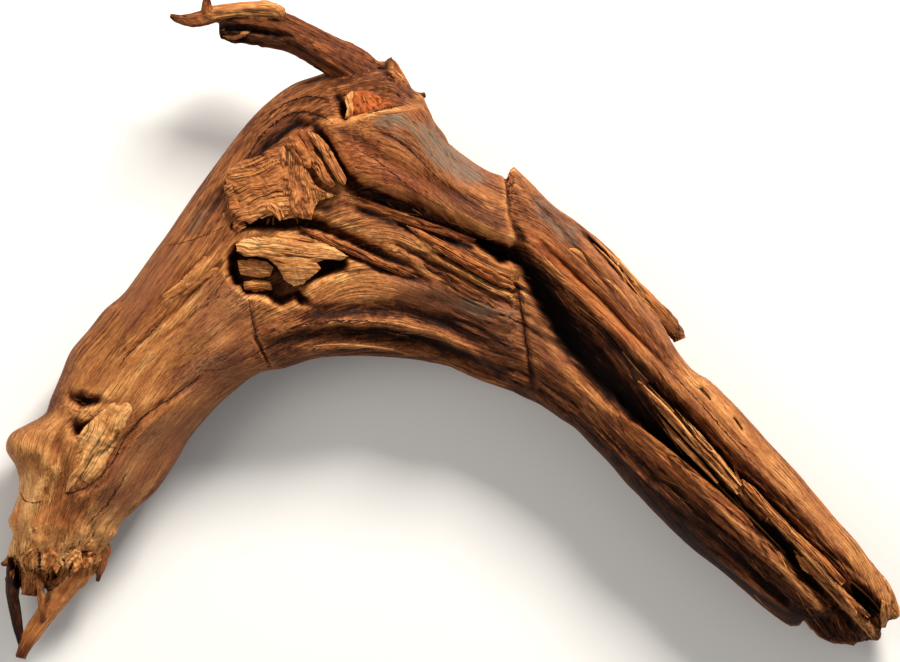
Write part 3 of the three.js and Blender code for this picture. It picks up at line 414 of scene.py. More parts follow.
REDDISH = [
    plate(1, 2, [[174, 50], [180, 48], [192, 50], [199, 54], [186, 56], [176, 58]]),
    plate(0.8, 4, [[32, 288], [38, 279], [47, 273], [52, 276], [44, 288], [34, 300], [28, 304]]),
    plate(0.3, 8, [[170, 70], [186, 70], [206, 84], [225, 98], [205, 98], [182, 90], [170, 82]]),
    plate(0.45, 8, [[262, 112], [280, 125], [300, 148], [322, 172], [312, 172], [284, 144], [264, 122]]),
    plate(0.4, 6, [[22, 262], [34, 256], [38, 266], [30, 276], [20, 274]]),
    plate(0.5, 4, [[142, 70], [152, 68], [157, 78], [152, 86], [144, 80]]),
]
# Dark: the wood's own dark rot and stain, and painted shade in the great hollow, the cracks and hollows,
# under the tongue's edge, inside the bend and on the far limb's inner side.
DARK_AND_SHADE = [
    plate(0.4, 7, [
        [262, 178], [276, 183], [292, 195], [306, 211], [320, 230], [306, 227], [290, 211], [272, 197],
        [262, 189],
    ]),
    plate(0.35, 5, [[342, 228], [352, 234], [370, 250], [388, 268], [384, 272], [364, 258], [344, 238]]),
    plate(0.5, 3, [
        [126, 80], [131, 70], [140, 61], [151, 57.5], [160, 60], [152, 61], [144, 66], [138, 73], [130, 80],
    ]),
    plate(0.3, 3, [[134, 62], [143, 54], [154, 50], [166, 51.5], [168, 54], [154, 53], [144, 57]]),
    plate(0.35, 3, [
        [326, 197], [345, 214], [362, 232], [373, 246], [366, 249], [350, 235], [334, 221], [322, 207],
    ]),
    plate(0.25, 3, [
        [40, 245], [52, 238], [58, 230], [65, 217], [71, 209.5], [71, 213], [66, 221], [59, 234], [50, 242],
    ]),
    plate(0.25, 8, [
        [118, 74], [128, 58], [146, 42], [170, 36], [184, 44], [176, 60], [160, 60], [146, 64], [134, 72],
        [124, 84],
    ]),
    plate(0.35, 4, BACK_PATCH),
    plate(0.3, 6, [
        [76, 196], [88, 184], [104, 176], [122, 170], [124, 180], [106, 190], [90, 200], [80, 210],
    ]),
    plate(0.55, 2, [[37, 196], [42, 194], [50, 197.5], [49, 202], [42, 204], [38, 201]]),
    plate(0.55, 2, [[39, 208], [44, 209], [46, 213], [41, 218], [37.5, 213]]),
    plate(0.45, 8, [
        [160, 66], [172, 62], [190, 72], [210, 88], [236, 100], [250, 112], [252, 121], [236, 114],
        [212, 102], [190, 97], [176, 88], [168, 76],
    ]),
    plate(0.5, 7, [
        [150, 157], [180, 153], [212, 152], [240, 160], [262, 176], [262, 184], [236, 172], [210, 162],
        [176, 160], [150, 163],
    ]),
    plate(0.3, 6, [
        [262, 122], [272, 122], [290, 140], [318, 168], [318, 180], [300, 170], [282, 150], [266, 132],
    ]),
    plate(0.1, 12, TONGUE),
    plate(0.15, 8, [[2, 226], [10, 212], [22, 208], [26, 220], [18, 232], [6, 236]]),
    plate(0.3, 7, [
        [258, 90], [270, 97], [290, 113], [310, 135], [330, 160], [338, 176], [330, 180], [310, 160],
        [290, 138], [270, 120], [259, 106],
    ]),
    plate(0.4, 5, [
        [344, 200], [353, 212], [363, 224], [377, 236], [391, 252], [405, 265], [420, 280], [430, 292],
        [418, 292], [400, 276], [380, 256], [360, 236], [345, 220], [332, 200],
    ]),
    plate(0.62, 6, [
        [259, 119], [272, 134], [290, 152], [310, 172], [330, 191], [345, 207], [356, 222], [342, 226],
        [322, 212], [303, 200], [286, 182], [274, 165], [265, 145], [259, 132],
    ]),
    plate(0.45, 7, [
        [300, 192], [320, 200], [342, 216], [366, 240], [390, 262], [410, 284], [424, 302], [400, 290],
        [380, 268], [360, 250], [335, 232], [312, 212],
    ]),
    plate(0.8, 12, [
        [258, 190], [285, 205], [312, 224], [345, 252], [382, 284], [404, 304], [424, 314],
        [436, 322], [400, 325], [380, 312], [340, 280], [300, 238], [266, 208], [250, 196],
    ]),
    plate(0.33, 6, [
        [132, 173], [150, 165], [175, 161], [200, 162], [222, 168], [245, 180], [264, 190], [264, 204],
        [240, 197], [220, 190], [190, 184], [165, 184], [145, 190],
    ]),
    plate(0.55, 3, [
        [172, 121], [190, 127], [208, 136], [212, 141], [196, 138], [178, 130], [150, 118], [155, 115],
    ]),
    plate(0.5, 6, [[178, 100], [200, 107], [226, 114], [246, 122], [232, 126], [206, 119], [182, 109]]),
    plate(0.7, 3, [[426, 292], [434, 292], [441, 300], [441, 310], [433, 310], [428, 300]]),
    plate(0.75, 5, [[402, 304], [420, 306], [434, 316], [430, 323], [410, 322], [402, 314]]),
    plate(0.3, 6, [[128, 68], [142, 58], [156, 58], [150, 66], [138, 72], [124, 82]]),
    plate(0.3, 8, [[150, 40], [176, 34], [200, 40], [206, 50], [180, 46], [160, 46]]),
    plate(0.6, 5, [[334, 222], [346, 230], [360, 242], [374, 256], [368, 260], [352, 248], [338, 234]]),
]

# The grain runs along the limb, strays a little, and bows out round the two knots:
# [x, y, radius, share].
GRAIN_WIDTH = 46
GRAIN_EVENNESS = 14
GRAIN_WANDER = [45, 22, 22]
GRAIN_STRAY = 2.2
KNOTS = [(142, 90, 24, 0.5), (147, 134, 17, 0.45)]

# The near limb is the least worn, and the hollowed far limb the most: wear at chosen ribs.
WORN_RIBS = [0, 8, 16, 22, 30, 38]
WORN_SHARES = [0.5, 0.22, 0.35, 0.65, 0.8, 1]


def smooth(share):
    """A share from 0 to 1, held there and eased at both ends."""
    held = np.clip(share, 0, 1)
    return held * held * (3 - 2 * held)


def signed_power(value, power):
    return np.sign(value) * np.abs(value) ** power


def along_rows(rows, t):
    """A smooth line through the rows of a table, at row numbers t."""
    last = len(rows) - 1
    i = np.clip(np.floor(t).astype(int), 0, last - 1)
    f = (t - i)[:, None]
    a, b, c, d = (rows[np.clip(n, 0, last)] for n in (i - 1, i, i + 1, i + 2))
    return b + 0.5 * f * (c - a + f * (2 * a - 5 * b + 4 * c - d + f * (3 * (b - c) + d - a)))


def thickness_at(t):
    following = np.clip(np.searchsorted(STATIONS[:, 0], t), 1, len(STATIONS) - 1)
    before, after = STATIONS[following - 1], STATIONS[following]
    share = smooth((t - before[:, 0]) / (after[:, 0] - before[:, 0]))[:, None]
    return (before[:, 1:] + share * (after[:, 1:] - before[:, 1:])).T


def nearest_on(points, x, y, closed):
    """For each place: its distance to a line of points, its side (1 on the left) and the line's row there."""
    best = np.full(len(x), np.inf)
    side = np.ones(len(x))
    row = np.zeros((len(x), points.shape[1]))
    following = np.roll(points, -1, axis=0)
    for p, q in list(zip(points, following))[: len(points) if closed else -1]:
        run = q[:2] - p[:2]
        share = np.clip(((x - p[0]) * run[0] + (y - p[1]) * run[1]) / (run @ run), 0, 1)
        distance = np.hypot(x - p[0] - share * run[0], y - p[1] - share * run[1])
        nearer = distance < best
        best[nearer] = distance[nearer]
        cross = run[0] * (y - p[1]) - run[1] * (x - p[0])
        side[nearer] = np.where(cross < 0, 1, -1)[nearer]
        row[nearer] = (p + share[:, None] * (q - p))[nearer]
    return best, side, row


def is_inside(points, x, y):
    inside = np.zeros(len(x), bool)
    for (px, py), (qx, qy) in zip(points, np.roll(points, -1, axis=0)):
        if py != qy:
            inside ^= ((py > y) != (qy > y)) & (x < px + (y - py) * (qx - px) / (qy - py))
    return inside


def lift(one_mark, x, y):
    """How far one mark lifts the surface at each place."""
    form, points, sizes, low, high = one_mark
    near = (x > low[0]) & (x < high[0]) & (y > low[1]) & (y < high[1])
    total = np.zeros(len(x))
    if not near.any():
        return total
    distance, side, row = nearest_on(points, x[near], y[near], form == "plate")
    if form == "furrow":
        across = np.minimum(distance / row[:, 2], 1)
        total[near] = -row[:, 3] * (1 - across**2) ** 2
    elif form == "ledge":
        signed = distance * side
        total[near] = row[:, 2] * smooth(signed / 3 + 0.5) * np.exp(-np.maximum(signed, 0) / sizes[0])
    else:
        height, edge = sizes
        inward = np.where(is_inside(points, x[near], y[near]), distance, -distance)
        total[near] = height * smooth(inward / edge + 0.5)
    return total


def relief_at(marks, x, y, softening):
    """The summed relief, as the mean of five places so that steep walls come out even."""
    places = [(x + softening * a, y + softening * b) for a, b in [(0, 0), (1, 0), (-1, 0), (0, 1), (0, -1)]]
    return sum(lift(each, *place) for place in places for each in marks) / len(places)


def patch(marks, x, y):
    """The strongest of several patches at each place."""
    return np.max([lift(each, x, y) for each in marks], axis=0)


def random_field(points, seed):
    """A smooth random value from -1 to 1 in space, with one random value to each corner of a unit grid."""
    cell = np.floor(points).astype(np.int64)
    inside = points - cell
    inside = inside * inside * (3 - 2 * inside)
    total = np.zeros(len(points))
    for corner in range(8):
        step = np.array([corner & 1, corner >> 1 & 1, corner >> 2 & 1])
        x, y, z = (cell + step).T
        mixed = (x * 73856093 ^ y * 19349663 ^ z * 83492791 ^ seed * 97531) & 0xFFFFFFFF
        mixed = (mixed ^ mixed >> 15) * 0x2C1B3C6D & 0xFFFFFFFF
        mixed = (mixed ^ mixed >> 12) * 0x297A2D39 & 0xFFFFFFFF
        value = (mixed ^ mixed >> 15) / 2**31 - 1
        total += np.prod(np.where(step, inside, 1 - inside), axis=1) * value
    return total


def fibre_field(grain, length, width, seed, octaves=3):
    """Random streaks that run with the grain, about length by width mm, from about -1 to 1."""
    total = np.zeros(len(grain))
    for octave in range(octaves):
        scaled = grain / np.array([length, width, width]) * 2**octave
        total += random_field(scaled + 31.7 * octave, seed + octave) / 2**octave
    return total / 1.3


def stepped(layers, tread, riser):
    """Layers of wood as steps, each level over its tread and eased up over its riser."""
    level = np.floor(layers)
    return level + smooth((layers - level - tread) / riser)


def splits(grain, length, width, seed, narrowness, octaves=3):
    """Cracks that run with the grain, 1 in their middle and 0 away from them."""
    return np.exp(-(fibre_field(grain, length, width, seed, octaves) / narrowness) ** 2)


def weather(grain, place, wear, crumble):
    """How far weather has moved the surface out, in mm, and how deep in its cracks each place lies, which is
    painted as crack shade.
    """
    steps = stepped(fibre_field(grain, 120, 8, 11) * 2.4, 0.7, 0.3)
    long_crack = splits(grain, 150, 7, 21, 0.06)
    short_crack = splits(grain, 60, 4, 31, 0.08)
    fibres = fibre_field(grain, 40, 2.4, 41)
    lumps = random_field(place / 3.6, 51) + 0.7 * random_field(place / 1.9, 52)
    height = wear * (0.6 * fibre_field(grain, 120, 14, 61) + 0.6 * steps + 0.35 * fibres)
    height -= wear * (1.2 * long_crack + 0.6 * short_crack)
    height += crumble * lumps + 0.25 * random_field(place / [9, 9, 9], 53)
    return height, np.clip(wear * (0.8 * long_crack + 0.5 * short_crack) - 0.25 * crumble * lumps, 0, 1)


def limb_point(t, turn):
    """The plain limb before relief: the point at rib t, turned round it from its outer edge over the top."""
    outer_x, outer_y, inner_x, inner_y = along_rows(RIBS, t).T
    height, rise, drop, crown, dip = thickness_at(t)
    across = signed_power(np.cos(turn), 2 / SQUARENESS)
    across = (across + crown) / (1 + crown * across)
    up = signed_power(np.sin(turn), 2 / SQUARENESS)
    x = (outer_x + inner_x) / 2 + across * (outer_x - inner_x) / 2
    y = (outer_y + inner_y) / 2 + across * (outer_y - inner_y) / 2
    return np.column_stack([x, y, height - dip * across + up * np.where(up > 0, rise, drop)])


def swell(x, y, turn):
    """Slow swellings of the wood, all the way round."""
    return (
        1.1 * np.sin(x / 19 + y / 31 + 2 * turn)
        + 0.9 * np.sin(x / 37 - y / 23 - 3 * turn + 1.3)
        + 0.6 * np.sin(x / 11 - y / 15 + 5 * turn + 0.4)
    )


def under_furrow(t, turn):
    below = np.degrees(2 * np.pi - turn)
    total = np.zeros(len(t))
    for centre, first, last, width, depth in UNDER_FURROWS:
        wander = centre + 7 * np.sin(0.45 * t + centre)
        across = np.minimum(np.abs(below - wander) / width, 1)
        ends = smooth((t - first) / 3) * smooth((last - t) / 3)
        total += depth * ends * (1 - across**2) ** 2
    return total


def unit(vectors):
    return vectors / np.linalg.norm(vectors, axis=-1, keepdims=True)


def limb_places():
    """Where the limb's sections stand: every rib, with more between ribs that lie far apart."""
    places = []
    for i, (a, b) in enumerate(zip(RIBS, RIBS[1:])):
        span = max(math.hypot(*(b[:2] - a[:2])), math.hypot(*(b[2:] - a[2:])))
        step = KNOTTED_STEP if KNOTTED_RIBS[0] <= i < KNOTTED_RIBS[1] else PLAIN_STEP
        steps = max(1, round(span / step))
        places += [i + k / steps for k in range(steps)]
    return np.array(places + [len(RIBS) - 1.0])


def grain_at(point, places, sides):
    """The grain's own coordinates at each point: along the limb, across it and up, in mm."""
    ribs = along_rows(RIBS, places)
    middles, halves = (ribs[:, :2] + ribs[:, 2:]) / 2, (ribs[:, :2] - ribs[:, 2:]) / 2
    runs = np.concatenate([[0], np.cumsum(np.linalg.norm(np.diff(middles, axis=0), axis=1))])
    weights = np.exp(-((runs[:, None] - runs) ** 2) / (2 * GRAIN_EVENNESS**2))
    weights /= weights.sum(1, keepdims=True)
    middles, halves = (np.repeat(weights @ values, sides, axis=0) for values in (middles, halves))
    across = GRAIN_WIDTH * np.sum((point[:, :2] - middles) * halves, axis=1) / np.sum(halves**2, axis=1)
    for knot_x, knot_y, radius, share in KNOTS:
        away = np.hypot(point[:, 0] - knot_x, point[:, 1] - knot_y)
        across -= share * (across - across[np.argmin(away)]) * np.exp(-(away**2) / (2 * radius**2))
    grain = np.column_stack([np.repeat(runs, sides), across, point[:, 2]])
    wander = grain / GRAIN_WANDER
    grain[:, 1] += GRAIN_STRAY * random_field(wander, 5)
    grain[:, 2] += GRAIN_STRAY * random_field(wander, 6)
    return grain


def blurred(height, reach):
    """A grid of heights, closed round its second axis, each made the mean of what lies about it."""
    for _ in range(reach):
        padded = np.pad(height, ((1, 1), (0, 0)), mode="edge")
        height = 0.5 * height + 0.25 * (padded[:-2] + padded[2:])
        height = 0.5 * height + 0.25 * (np.roll(height, 1, 1) + np.roll(height, -1, 1))
    return height


def hollowness(height, reach):
    """How far each place on the grid lies below the mean of the places about it."""
    return blurred(height, reach) - height


def limb_surface(places, turns):
    """The worn surface of the limb: its rings of points, the grain there, and its tones."""
    t, turn = (grid.ravel() for grid in np.meshgrid(places, turns, indexing="ij"))
    reach = 0.02
    end = len(RIBS) - 1
    point = limb_point(t, turn)
    x, y = point[:, 0], point[:, 1]
    round_step = limb_point(t, turn + reach) - limb_point(t, turn - reach)
    long_step = limb_point(np.minimum(end, t + reach), turn) - limb_point(np.maximum(0, t - reach), turn)
    normal = unit(np.cross(long_step, round_step))
    over = smooth((normal[:, 2] + 0.1) / 0.45)
    under = smooth((-normal[:, 2] - 0.1) / 0.4)
    flank = np.abs(np.sin(turn))
    grain = grain_at(point, places, len(turns))

    wear = np.interp(t, WORN_RIBS, WORN_SHARES) * (1 - patch(SMOOTH, x, y) * over)
    mouth = np.clip((5 - t) / 3, 0, 1)
    crumble = np.maximum(0.9 * mouth, patch(ROUGH, x, y) * over)
    worn, crack = weather(grain, point, wear, crumble)
    ragged = 0.35 + 0.9 * wear
    torn_x = x + ragged * fibre_field(grain, 8, 2.2, 81, 2)
    torn_y = y + ragged * fibre_field(grain, 8, 2.2, 91, 2)
    relief = relief_at(RELIEF, torn_x, torn_y, 0.5) + relief_at(FINE_RELIEF, torn_x, torn_y, 0.3)
    relief = blurred(relief.reshape(len(places), len(turns)), 1).ravel()

    edge_share = smooth(flank / 0.35)
    cut = unit(normal * 0.4 + [0, 0, 0.6])
    moved = point + normal * (swell(x, y, turn) * flank - under_furrow(t, turn) * under)[:, None]
    moved += cut * (relief * over)[:, None]
    moved += normal * (worn * (0.35 + 0.65 * edge_share) - 0.35 * (1 - edge_share))[:, None]
    for foot_x, foot_y, radius, fall in FEET:
        moved[:, 2] -= fall * under * np.exp(-((x - foot_x) ** 2 + (y - foot_y) ** 2) / radius**2)

    height = (relief * over + worn).reshape(len(places), len(turns))
    # Cavity shade: painted shade in the hollows of the relief and painted highlight on its ridges.
    hollow = np.clip(0.35 * hollowness(height, 12) + 0.35 * hollowness(height, 3), -1, 1).ravel()
    # Painted shade: deep recesses and the undersides are darkened, and the undersides are also tinted mauve;
    # the deep recesses also hold the dark stain of rot.
    deep = np.clip(-relief - 2, 0, 12)
    tones = {
        "dark": np.clip(patch(DARK_AND_SHADE, x, y) * over + 0.035 * deep * over + 0.35 * under, 0, 1),
        "hollow": (1 - 0.8 * mouth) * hollow,
        "crack": crack * (1 - 0.7 * mouth),
        "pale": patch(PALE, x, y) * over,
        "grey": patch(GREY, x, y) * over,
        "mauve": patch(MAUVE, x, y) * over + 0.3 * under,
        "reddish": patch(REDDISH, x, y) * over,
        "wear": wear,
    }
    return moved.reshape(len(places), len(turns), 3), grain, tones


def shell(name, rings, grain, tones, caps):
    """A closed mesh over rings of points, each end drawn to one point, that keeps the grain and the tones."""
    count, sides = rings.shape[:2]
    points = np.vstack([caps[0], rings.reshape(-1, 3), caps[1]])
    points = np.column_stack([points[:, 0] - MIDDLE[0], MIDDLE[1] - points[:, 1], points[:, 2]]) / 1000
    ring, k = np.meshgrid(np.arange(count - 1), np.arange(sides), indexing="ij")
    here, beside = 1 + ring * sides + k, 1 + ring * sides + (k + 1) % sides
    faces = np.stack([here, beside, beside + sides, here + sides], axis=-1).reshape(-1, 4).tolist()
    last = 1 + (count - 1) * sides
    for k in range(sides):
        faces.append([0, 1 + (k + 1) % sides, 1 + k])
        faces.append([len(points) - 1, last + k, last + (k + 1) % sides])
    mesh = bpy.data.meshes.new(name)
    mesh.from_pydata(points.tolist(), [], faces)
    ends = np.vstack([grain[:1], grain, grain[-1:]])
    mesh.attributes.new("grain", "FLOAT_VECTOR", "POINT").data.foreach_set("vector", ends.ravel())
    for tone, values in {**tones, "kept": np.ones(len(grain))}.items():
        ends = np.concatenate([values[:1], values, values[-1:]])
        mesh.attributes.new(tone, "FLOAT", "POINT").data.foreach_set("value", ends)
    piece = bpy.data.objects.new(name, mesh)
    bpy.context.collection.objects.link(piece)
    return piece


def build_limb():
    places = limb_places()
    finely = np.linspace(0, np.pi, 4000)
    across = FLATNESS * signed_power(np.cos(finely), 2 / SQUARENESS)
    up = signed_power(np.sin(finely), 2 / SQUARENESS)
    girth = np.concatenate([[0], np.cumsum(np.hypot(np.diff(across), np.diff(up)))])
    even = [np.interp(np.arange(n) / n * girth[-1], girth, finely) for n in (FACES_OVER, FACES_UNDER)]
    turns = np.concatenate([even[0], np.pi + even[1]])
    sides = len(turns)
    rings, grain, tones = limb_surface(places, turns)

    # The torn mouth: its rim is ragged, and rings shrink and sink inwards from it.
    way_x, way_y, depth = MOUTH
    way = np.array([way_x, way_y, 0])
    rim = np.column_stack([np.full(sides, 0.5), 3 * np.cos(turns), 3 * np.sin(turns)])
    torn = 2.2 * random_field(rim * 2.3, 72) + 1.6 * random_field(rim * 5.1, 73)
    for ring, share in enumerate(RIM_SHARES):
        rings[ring] -= way * (share * torn)[:, None]
    mouth = rings[0].mean(0) + way * depth
    shares = np.array(LIP_SHARES)
    lip = np.array([rings[0] + (mouth - rings[0]) * share for share in shares])
    lip += 0.9 * random_field(lip.reshape(-1, 3) / 3, 71).reshape(lip.shape[:2])[..., None]
    rings = np.vstack([lip, rings])
    lip_grain = np.tile(grain[:sides], (len(shares), 1))
    lip_grain[:, 0] -= np.repeat(40 * shares, sides)
    grain = np.vstack([lip_grain, grain])
    # Painted shade inside the torn mouth: its lip rings are darkened and given cavity shade.
    lip_tones = {"dark": 0.6, "hollow": 0.3, "crack": 0.2, "reddish": 0.3, "wear": 1}
    tones = {
        tone: np.concatenate([np.full(len(shares) * sides, lip_tones.get(tone, 0.0)), values])
        for tone, values in tones.items()
    }
    far_end = rings[-1].mean(0) - [FAR_END_DEPTH, FAR_END_DEPTH, 0]
    return shell("limb", rings, grain, tones, (mouth, far_end))


limb = build_limb()


# The side branch, prongs and slivers: each tapers along a path and grows out of the limb, so
# they are joined to it in one skin. [x, y, z, half width on the plan, half height] along each.
BRANCHES = {
    # Side branch, from its root in the bend to its broken end.
    "hook": [
        [207, 64, 34, 5, 7], [198.4, 53, 38, 9.6, 12], [187, 43, 40, 11.4, 14], [174.5, 33.2, 42, 11, 13],
        [162, 26, 44, 10.2, 11.5], [149, 19.4, 45, 9.2, 10.5], [137, 14.5, 46, 9.7, 11],
        [126, 12.1, 47, 10.4, 10.5], [116, 11.9, 48, 10, 9.5], [109.8, 12.2, 48, 7.4, 7],
    ],
    # Shelf of paler wood along its outer side, that runs on as a thin twig to a point.
    "twig": [
        [142.4, 8.6, 52, 3.2, 4], [136, 6.4, 54, 4.9, 5], [122, 6.6, 55, 5.2, 5.5], [108, 8.6, 55, 5.6, 5],
        [101, 10.2, 54, 4.2, 4], [93, 10.9, 54, 3.3, 3.2], [86, 8.6, 54.5, 0.9, 1],
    ],
    "stub": [[105, 9, 55, 3.8, 3.8], [104, 4.5, 57, 3.2, 3.2], [104.7, 0.8, 58, 2.6, 2.2]],
    # Splintered hump on the branch's root, and a tooth of torn wood below it.
    "hump": [[202, 44, 46, 4, 6], [197.2, 35.6, 48, 3.6, 4.5], [194, 30.2, 48, 2.4, 3]],
    "nub": [[201, 55, 44, 5, 7], [207.5, 50, 46, 3.6, 5], [213, 47.6, 46, 1.5, 2.4]],
    # Prongs of the root foot: the dark one and the broad one, joined at their tips.
    "darkProng": [
        [12, 270, 23, 4, 7], [7.8, 283, 22, 5.2, 7], [6, 296, 20, 3.8, 5], [7.4, 308, 18, 3, 4],
        [9.2, 318, 17, 2.4, 3.4], [10.6, 324, 17, 2.4, 3],
    ],
    "broadProng": [
        [47, 264, 25, 9, 9], [41.4, 280, 23, 9, 8], [33.4, 291, 22, 7.2, 7], [26.5, 301.8, 20, 6.4, 6],
        [20, 311, 19, 5.2, 5], [14, 319, 18, 4.4, 4.6], [10.8, 325, 17, 3.8, 4.2], [9.6, 329.6, 16.5, 2.6, 3],
    ],
    "tooth": [[52, 272, 24, 4, 5], [50.5, 281, 23, 3, 4], [48.4, 291, 22, 1, 1.4]],
    "sliver": [
        [19, 285, 27, 2.4, 3], [20.4, 296, 27, 2.2, 2.6], [20.9, 306, 25, 2, 2.4],
        [21.2, 311.5, 23, 1, 1.4],
    ],
    # Torn lip of the foot's mouth, and the splinter that stands out on its left.
    "lip": [[27, 270, 24, 16, 11], [25.6, 281, 24, 14, 9], [23.6, 288.5, 23, 11, 7], [21.4, 294, 22, 6.5, 5]],
    "fringe": [[16, 280, 26, 7, 7], [14.4, 290, 25, 5.6, 5], [13.8, 297.8, 23, 4.2, 3]],
    "leftSplinter": [[9, 275, 24, 3.4, 4], [4, 280.6, 24, 2.2, 3], [0.3, 282.4, 24, 0.8, 1]],
    # Strip that has sprung away from the outer face of the far limb.
    "strip": [
        [281, 108.4, 34, 2.4, 5], [290, 115.6, 34, 3.2, 6.5], [300.4, 125.2, 34, 4, 7.5],
        [311, 136.2, 34, 4, 7.5],
        [321.6, 148.2, 33, 4.4, 7], [331.8, 159.4, 32, 4.8, 6], [337.6, 166, 31, 4.4, 5],
        [339.6, 170.2, 31, 2.8, 3],
    ],
    # Splintered teeth of the far end.
    "lowerTip": [[384, 296, 30, 6, 8], [392, 305, 29, 4.6, 6], [397.4, 311.2, 28, 2.4, 3]],
    "splitTip": [[420, 300, 34, 4, 6], [430, 310, 32, 4, 5], [437.6, 317.6, 30, 2.8, 3.4]],
}

# The wood's tones on each branch, in this order, and how crumbly it is.
BRANCH_TONE_NAMES = ["dark", "pale", "grey", "mauve", "reddish", "wear"]
BRANCH_TONES = {
    "hook": [0.42, 0, -0.5, 0, 0.2, 0.7, 0.3], "twig": [0, 0.3, -0.5, 0, 0.1, 0.9, 0.9],
    "stub": [0.1, 0.35, 0, 0, 0.4, 0.8, 0.5], "hump": [0.15, 0.2, 0, 0, 0.3, 0.8, 0.4],
    "nub": [0.2, 0.1, 0, 0, 0.4, 0.8, 0.4], "darkProng": [0.72, 0, 0, 0.3, 0, 0.7, 0.1],
    # The broad prong's pale is the wood's ochre, raised further as painted light where its end faces away
    # from the key light.
    "broadProng": [0, 1.3, 0, 0, 0.6, 0.5, 0.2], "tooth": [0.1, 0.2, 0, 0.2, 0.3, 0.6, 0.2],
    "sliver": [0, 0.6, 0, 0, 0.2, 0.5, 0.15], "lip": [0, 0.6, 0, 0, 0.5, 1, 0.9],
    "fringe": [0, 0.5, 0, 0, 0.4, 1, 0.8], "leftSplinter": [0, 0.6, 0.2, 0, 0, 0.6, 0.2],
    "strip": [0, 0.35, 0, 0, 0.2, 1, 0.2], "lowerTip": [0.35, 0.1, 0, 0.2, 0.4, 1, 0.3],
    "splitTip": [0.15, 0.35, 0, 0, 0.2, 1, 0.5],
}
BRANCH_STEP = 1.3
FACE_WIDTH = 1.15


def build_branch(name, rows, number):
    rows = np.array(rows, float)
    length = np.linalg.norm(np.diff(rows[:, :2], axis=0), axis=1).sum()
    steps = max(len(rows) - 1, round(length / BRANCH_STEP))
    sides = max(16, round(2 * np.pi * rows[:, 3:].mean() / FACE_WIDTH))
    share = np.arange(steps + 1) / steps
    place = lambda at: along_rows(rows, np.clip(at, 0, 1) * (len(rows) - 1))
    x, y, z, half_width, half_height = (column[:, None] for column in place(share).T)
    way = unit((place(share + 0.02) - place(share - 0.02))[:, :2])
    turn = 2 * np.pi * np.arange(sides) / sides
    bulge = 1 + 0.06 * np.sin(3 * turn + 9 * share[:, None]) + 0.05 * np.sin(2 * turn - 17 * share[:, None])
    aside = np.cos(turn) * half_width * bulge
    up = np.sin(turn) * half_height * bulge
    points = np.stack([x + way[:, 1:] * aside, y - way[:, :1] * aside, z + up], axis=-1)
    outward = unit(points - np.stack([x, y, z], axis=-1))
    run = np.broadcast_to(share[:, None] * length + 1000 * number, aside.shape)
    grain = np.stack([run, 1.4 * aside, 1.4 * up], axis=-1).reshape(-1, 3)
    dark, pale, grey, mauve, reddish, wear, crumble = BRANCH_TONES[name]
    broken = crumble + 0.9 * smooth((share[:, None] - 0.82) / 0.18) + 0 * run
    worn, crack = weather(grain, points.reshape(-1, 3), wear, broken.ravel())
    slimness = np.minimum(1, (half_width + half_height) / 14)
    height = worn.reshape(aside.shape) * slimness
    points += outward * (height - 0.35 * slimness)[..., None]
    even = np.ones(aside.size)

    # It has painted shade beneath and in its hollows, is greyer towards its tip, and has painted light on the
    # side that faces the key light.
    under = np.clip(-np.sin(turn) - 0.1 + 0 * run, 0, 1).ravel()
    aged = smooth(1.6 * (share[:, None] - 0.35) + 0 * run).ravel()
    rooted = smooth(1 - 4 * share[:, None] + 0 * run).ravel()
    lit_side = 0.5 * np.clip(-outward[..., 1].ravel() - 0.2, 0, 1)
    tones = {
        "dark": np.clip(dark * (1 - 0.6 * rooted) + 0.5 * under + 0.32 * aged, 0, 1),
        "hollow": np.clip(0.7 * hollowness(height, 4), -1, 1).ravel(),
        "crack": crack,
        "pale": pale * (1 - under) * (1.8 - 1.6 * aged) + lit_side,
        "grey": np.clip(grey + 0.5 * aged, 0, 1),
        "mauve": mauve * even,
        "reddish": reddish * (1 - 0.7 * aged),
        "wear": wear * even,
    }
    return shell(name, points, grain, tones, (points[0].mean(0), points[-1].mean(0)))


def join(piece, other):
    """Joins another closed piece into this one's skin, and takes the other away."""
    union = piece.modifiers.new("join", "BOOLEAN")
    union.operation = "UNION"
    union.solver = "MANIFOLD"
    union.object = other
    joined = bpy.data.meshes.new_from_object(piece.evaluated_get(bpy.context.evaluated_depsgraph_get()))
    piece.modifiers.clear()
    piece.data = joined
    bpy.data.objects.remove(other)


for number, (name, rows) in enumerate(BRANCHES.items(), start=1):
    join(limb, build_branch(name, rows, number))


def read(mesh, name, width=1):
    values = np.empty(len(mesh.vertices) * width)
    mesh.attributes[name].data.foreach_get("vector" if width == 3 else "value", values)
    return values.reshape(-1, width) if width > 1 else values


# A point that a join has made keeps less than this of either skin's own mark.
WHOLLY_KEPT = 0.999

# How many points round a crease are worn with it, and how often.
CREASE_REACH = 4
CREASE_ROUNDS = 5


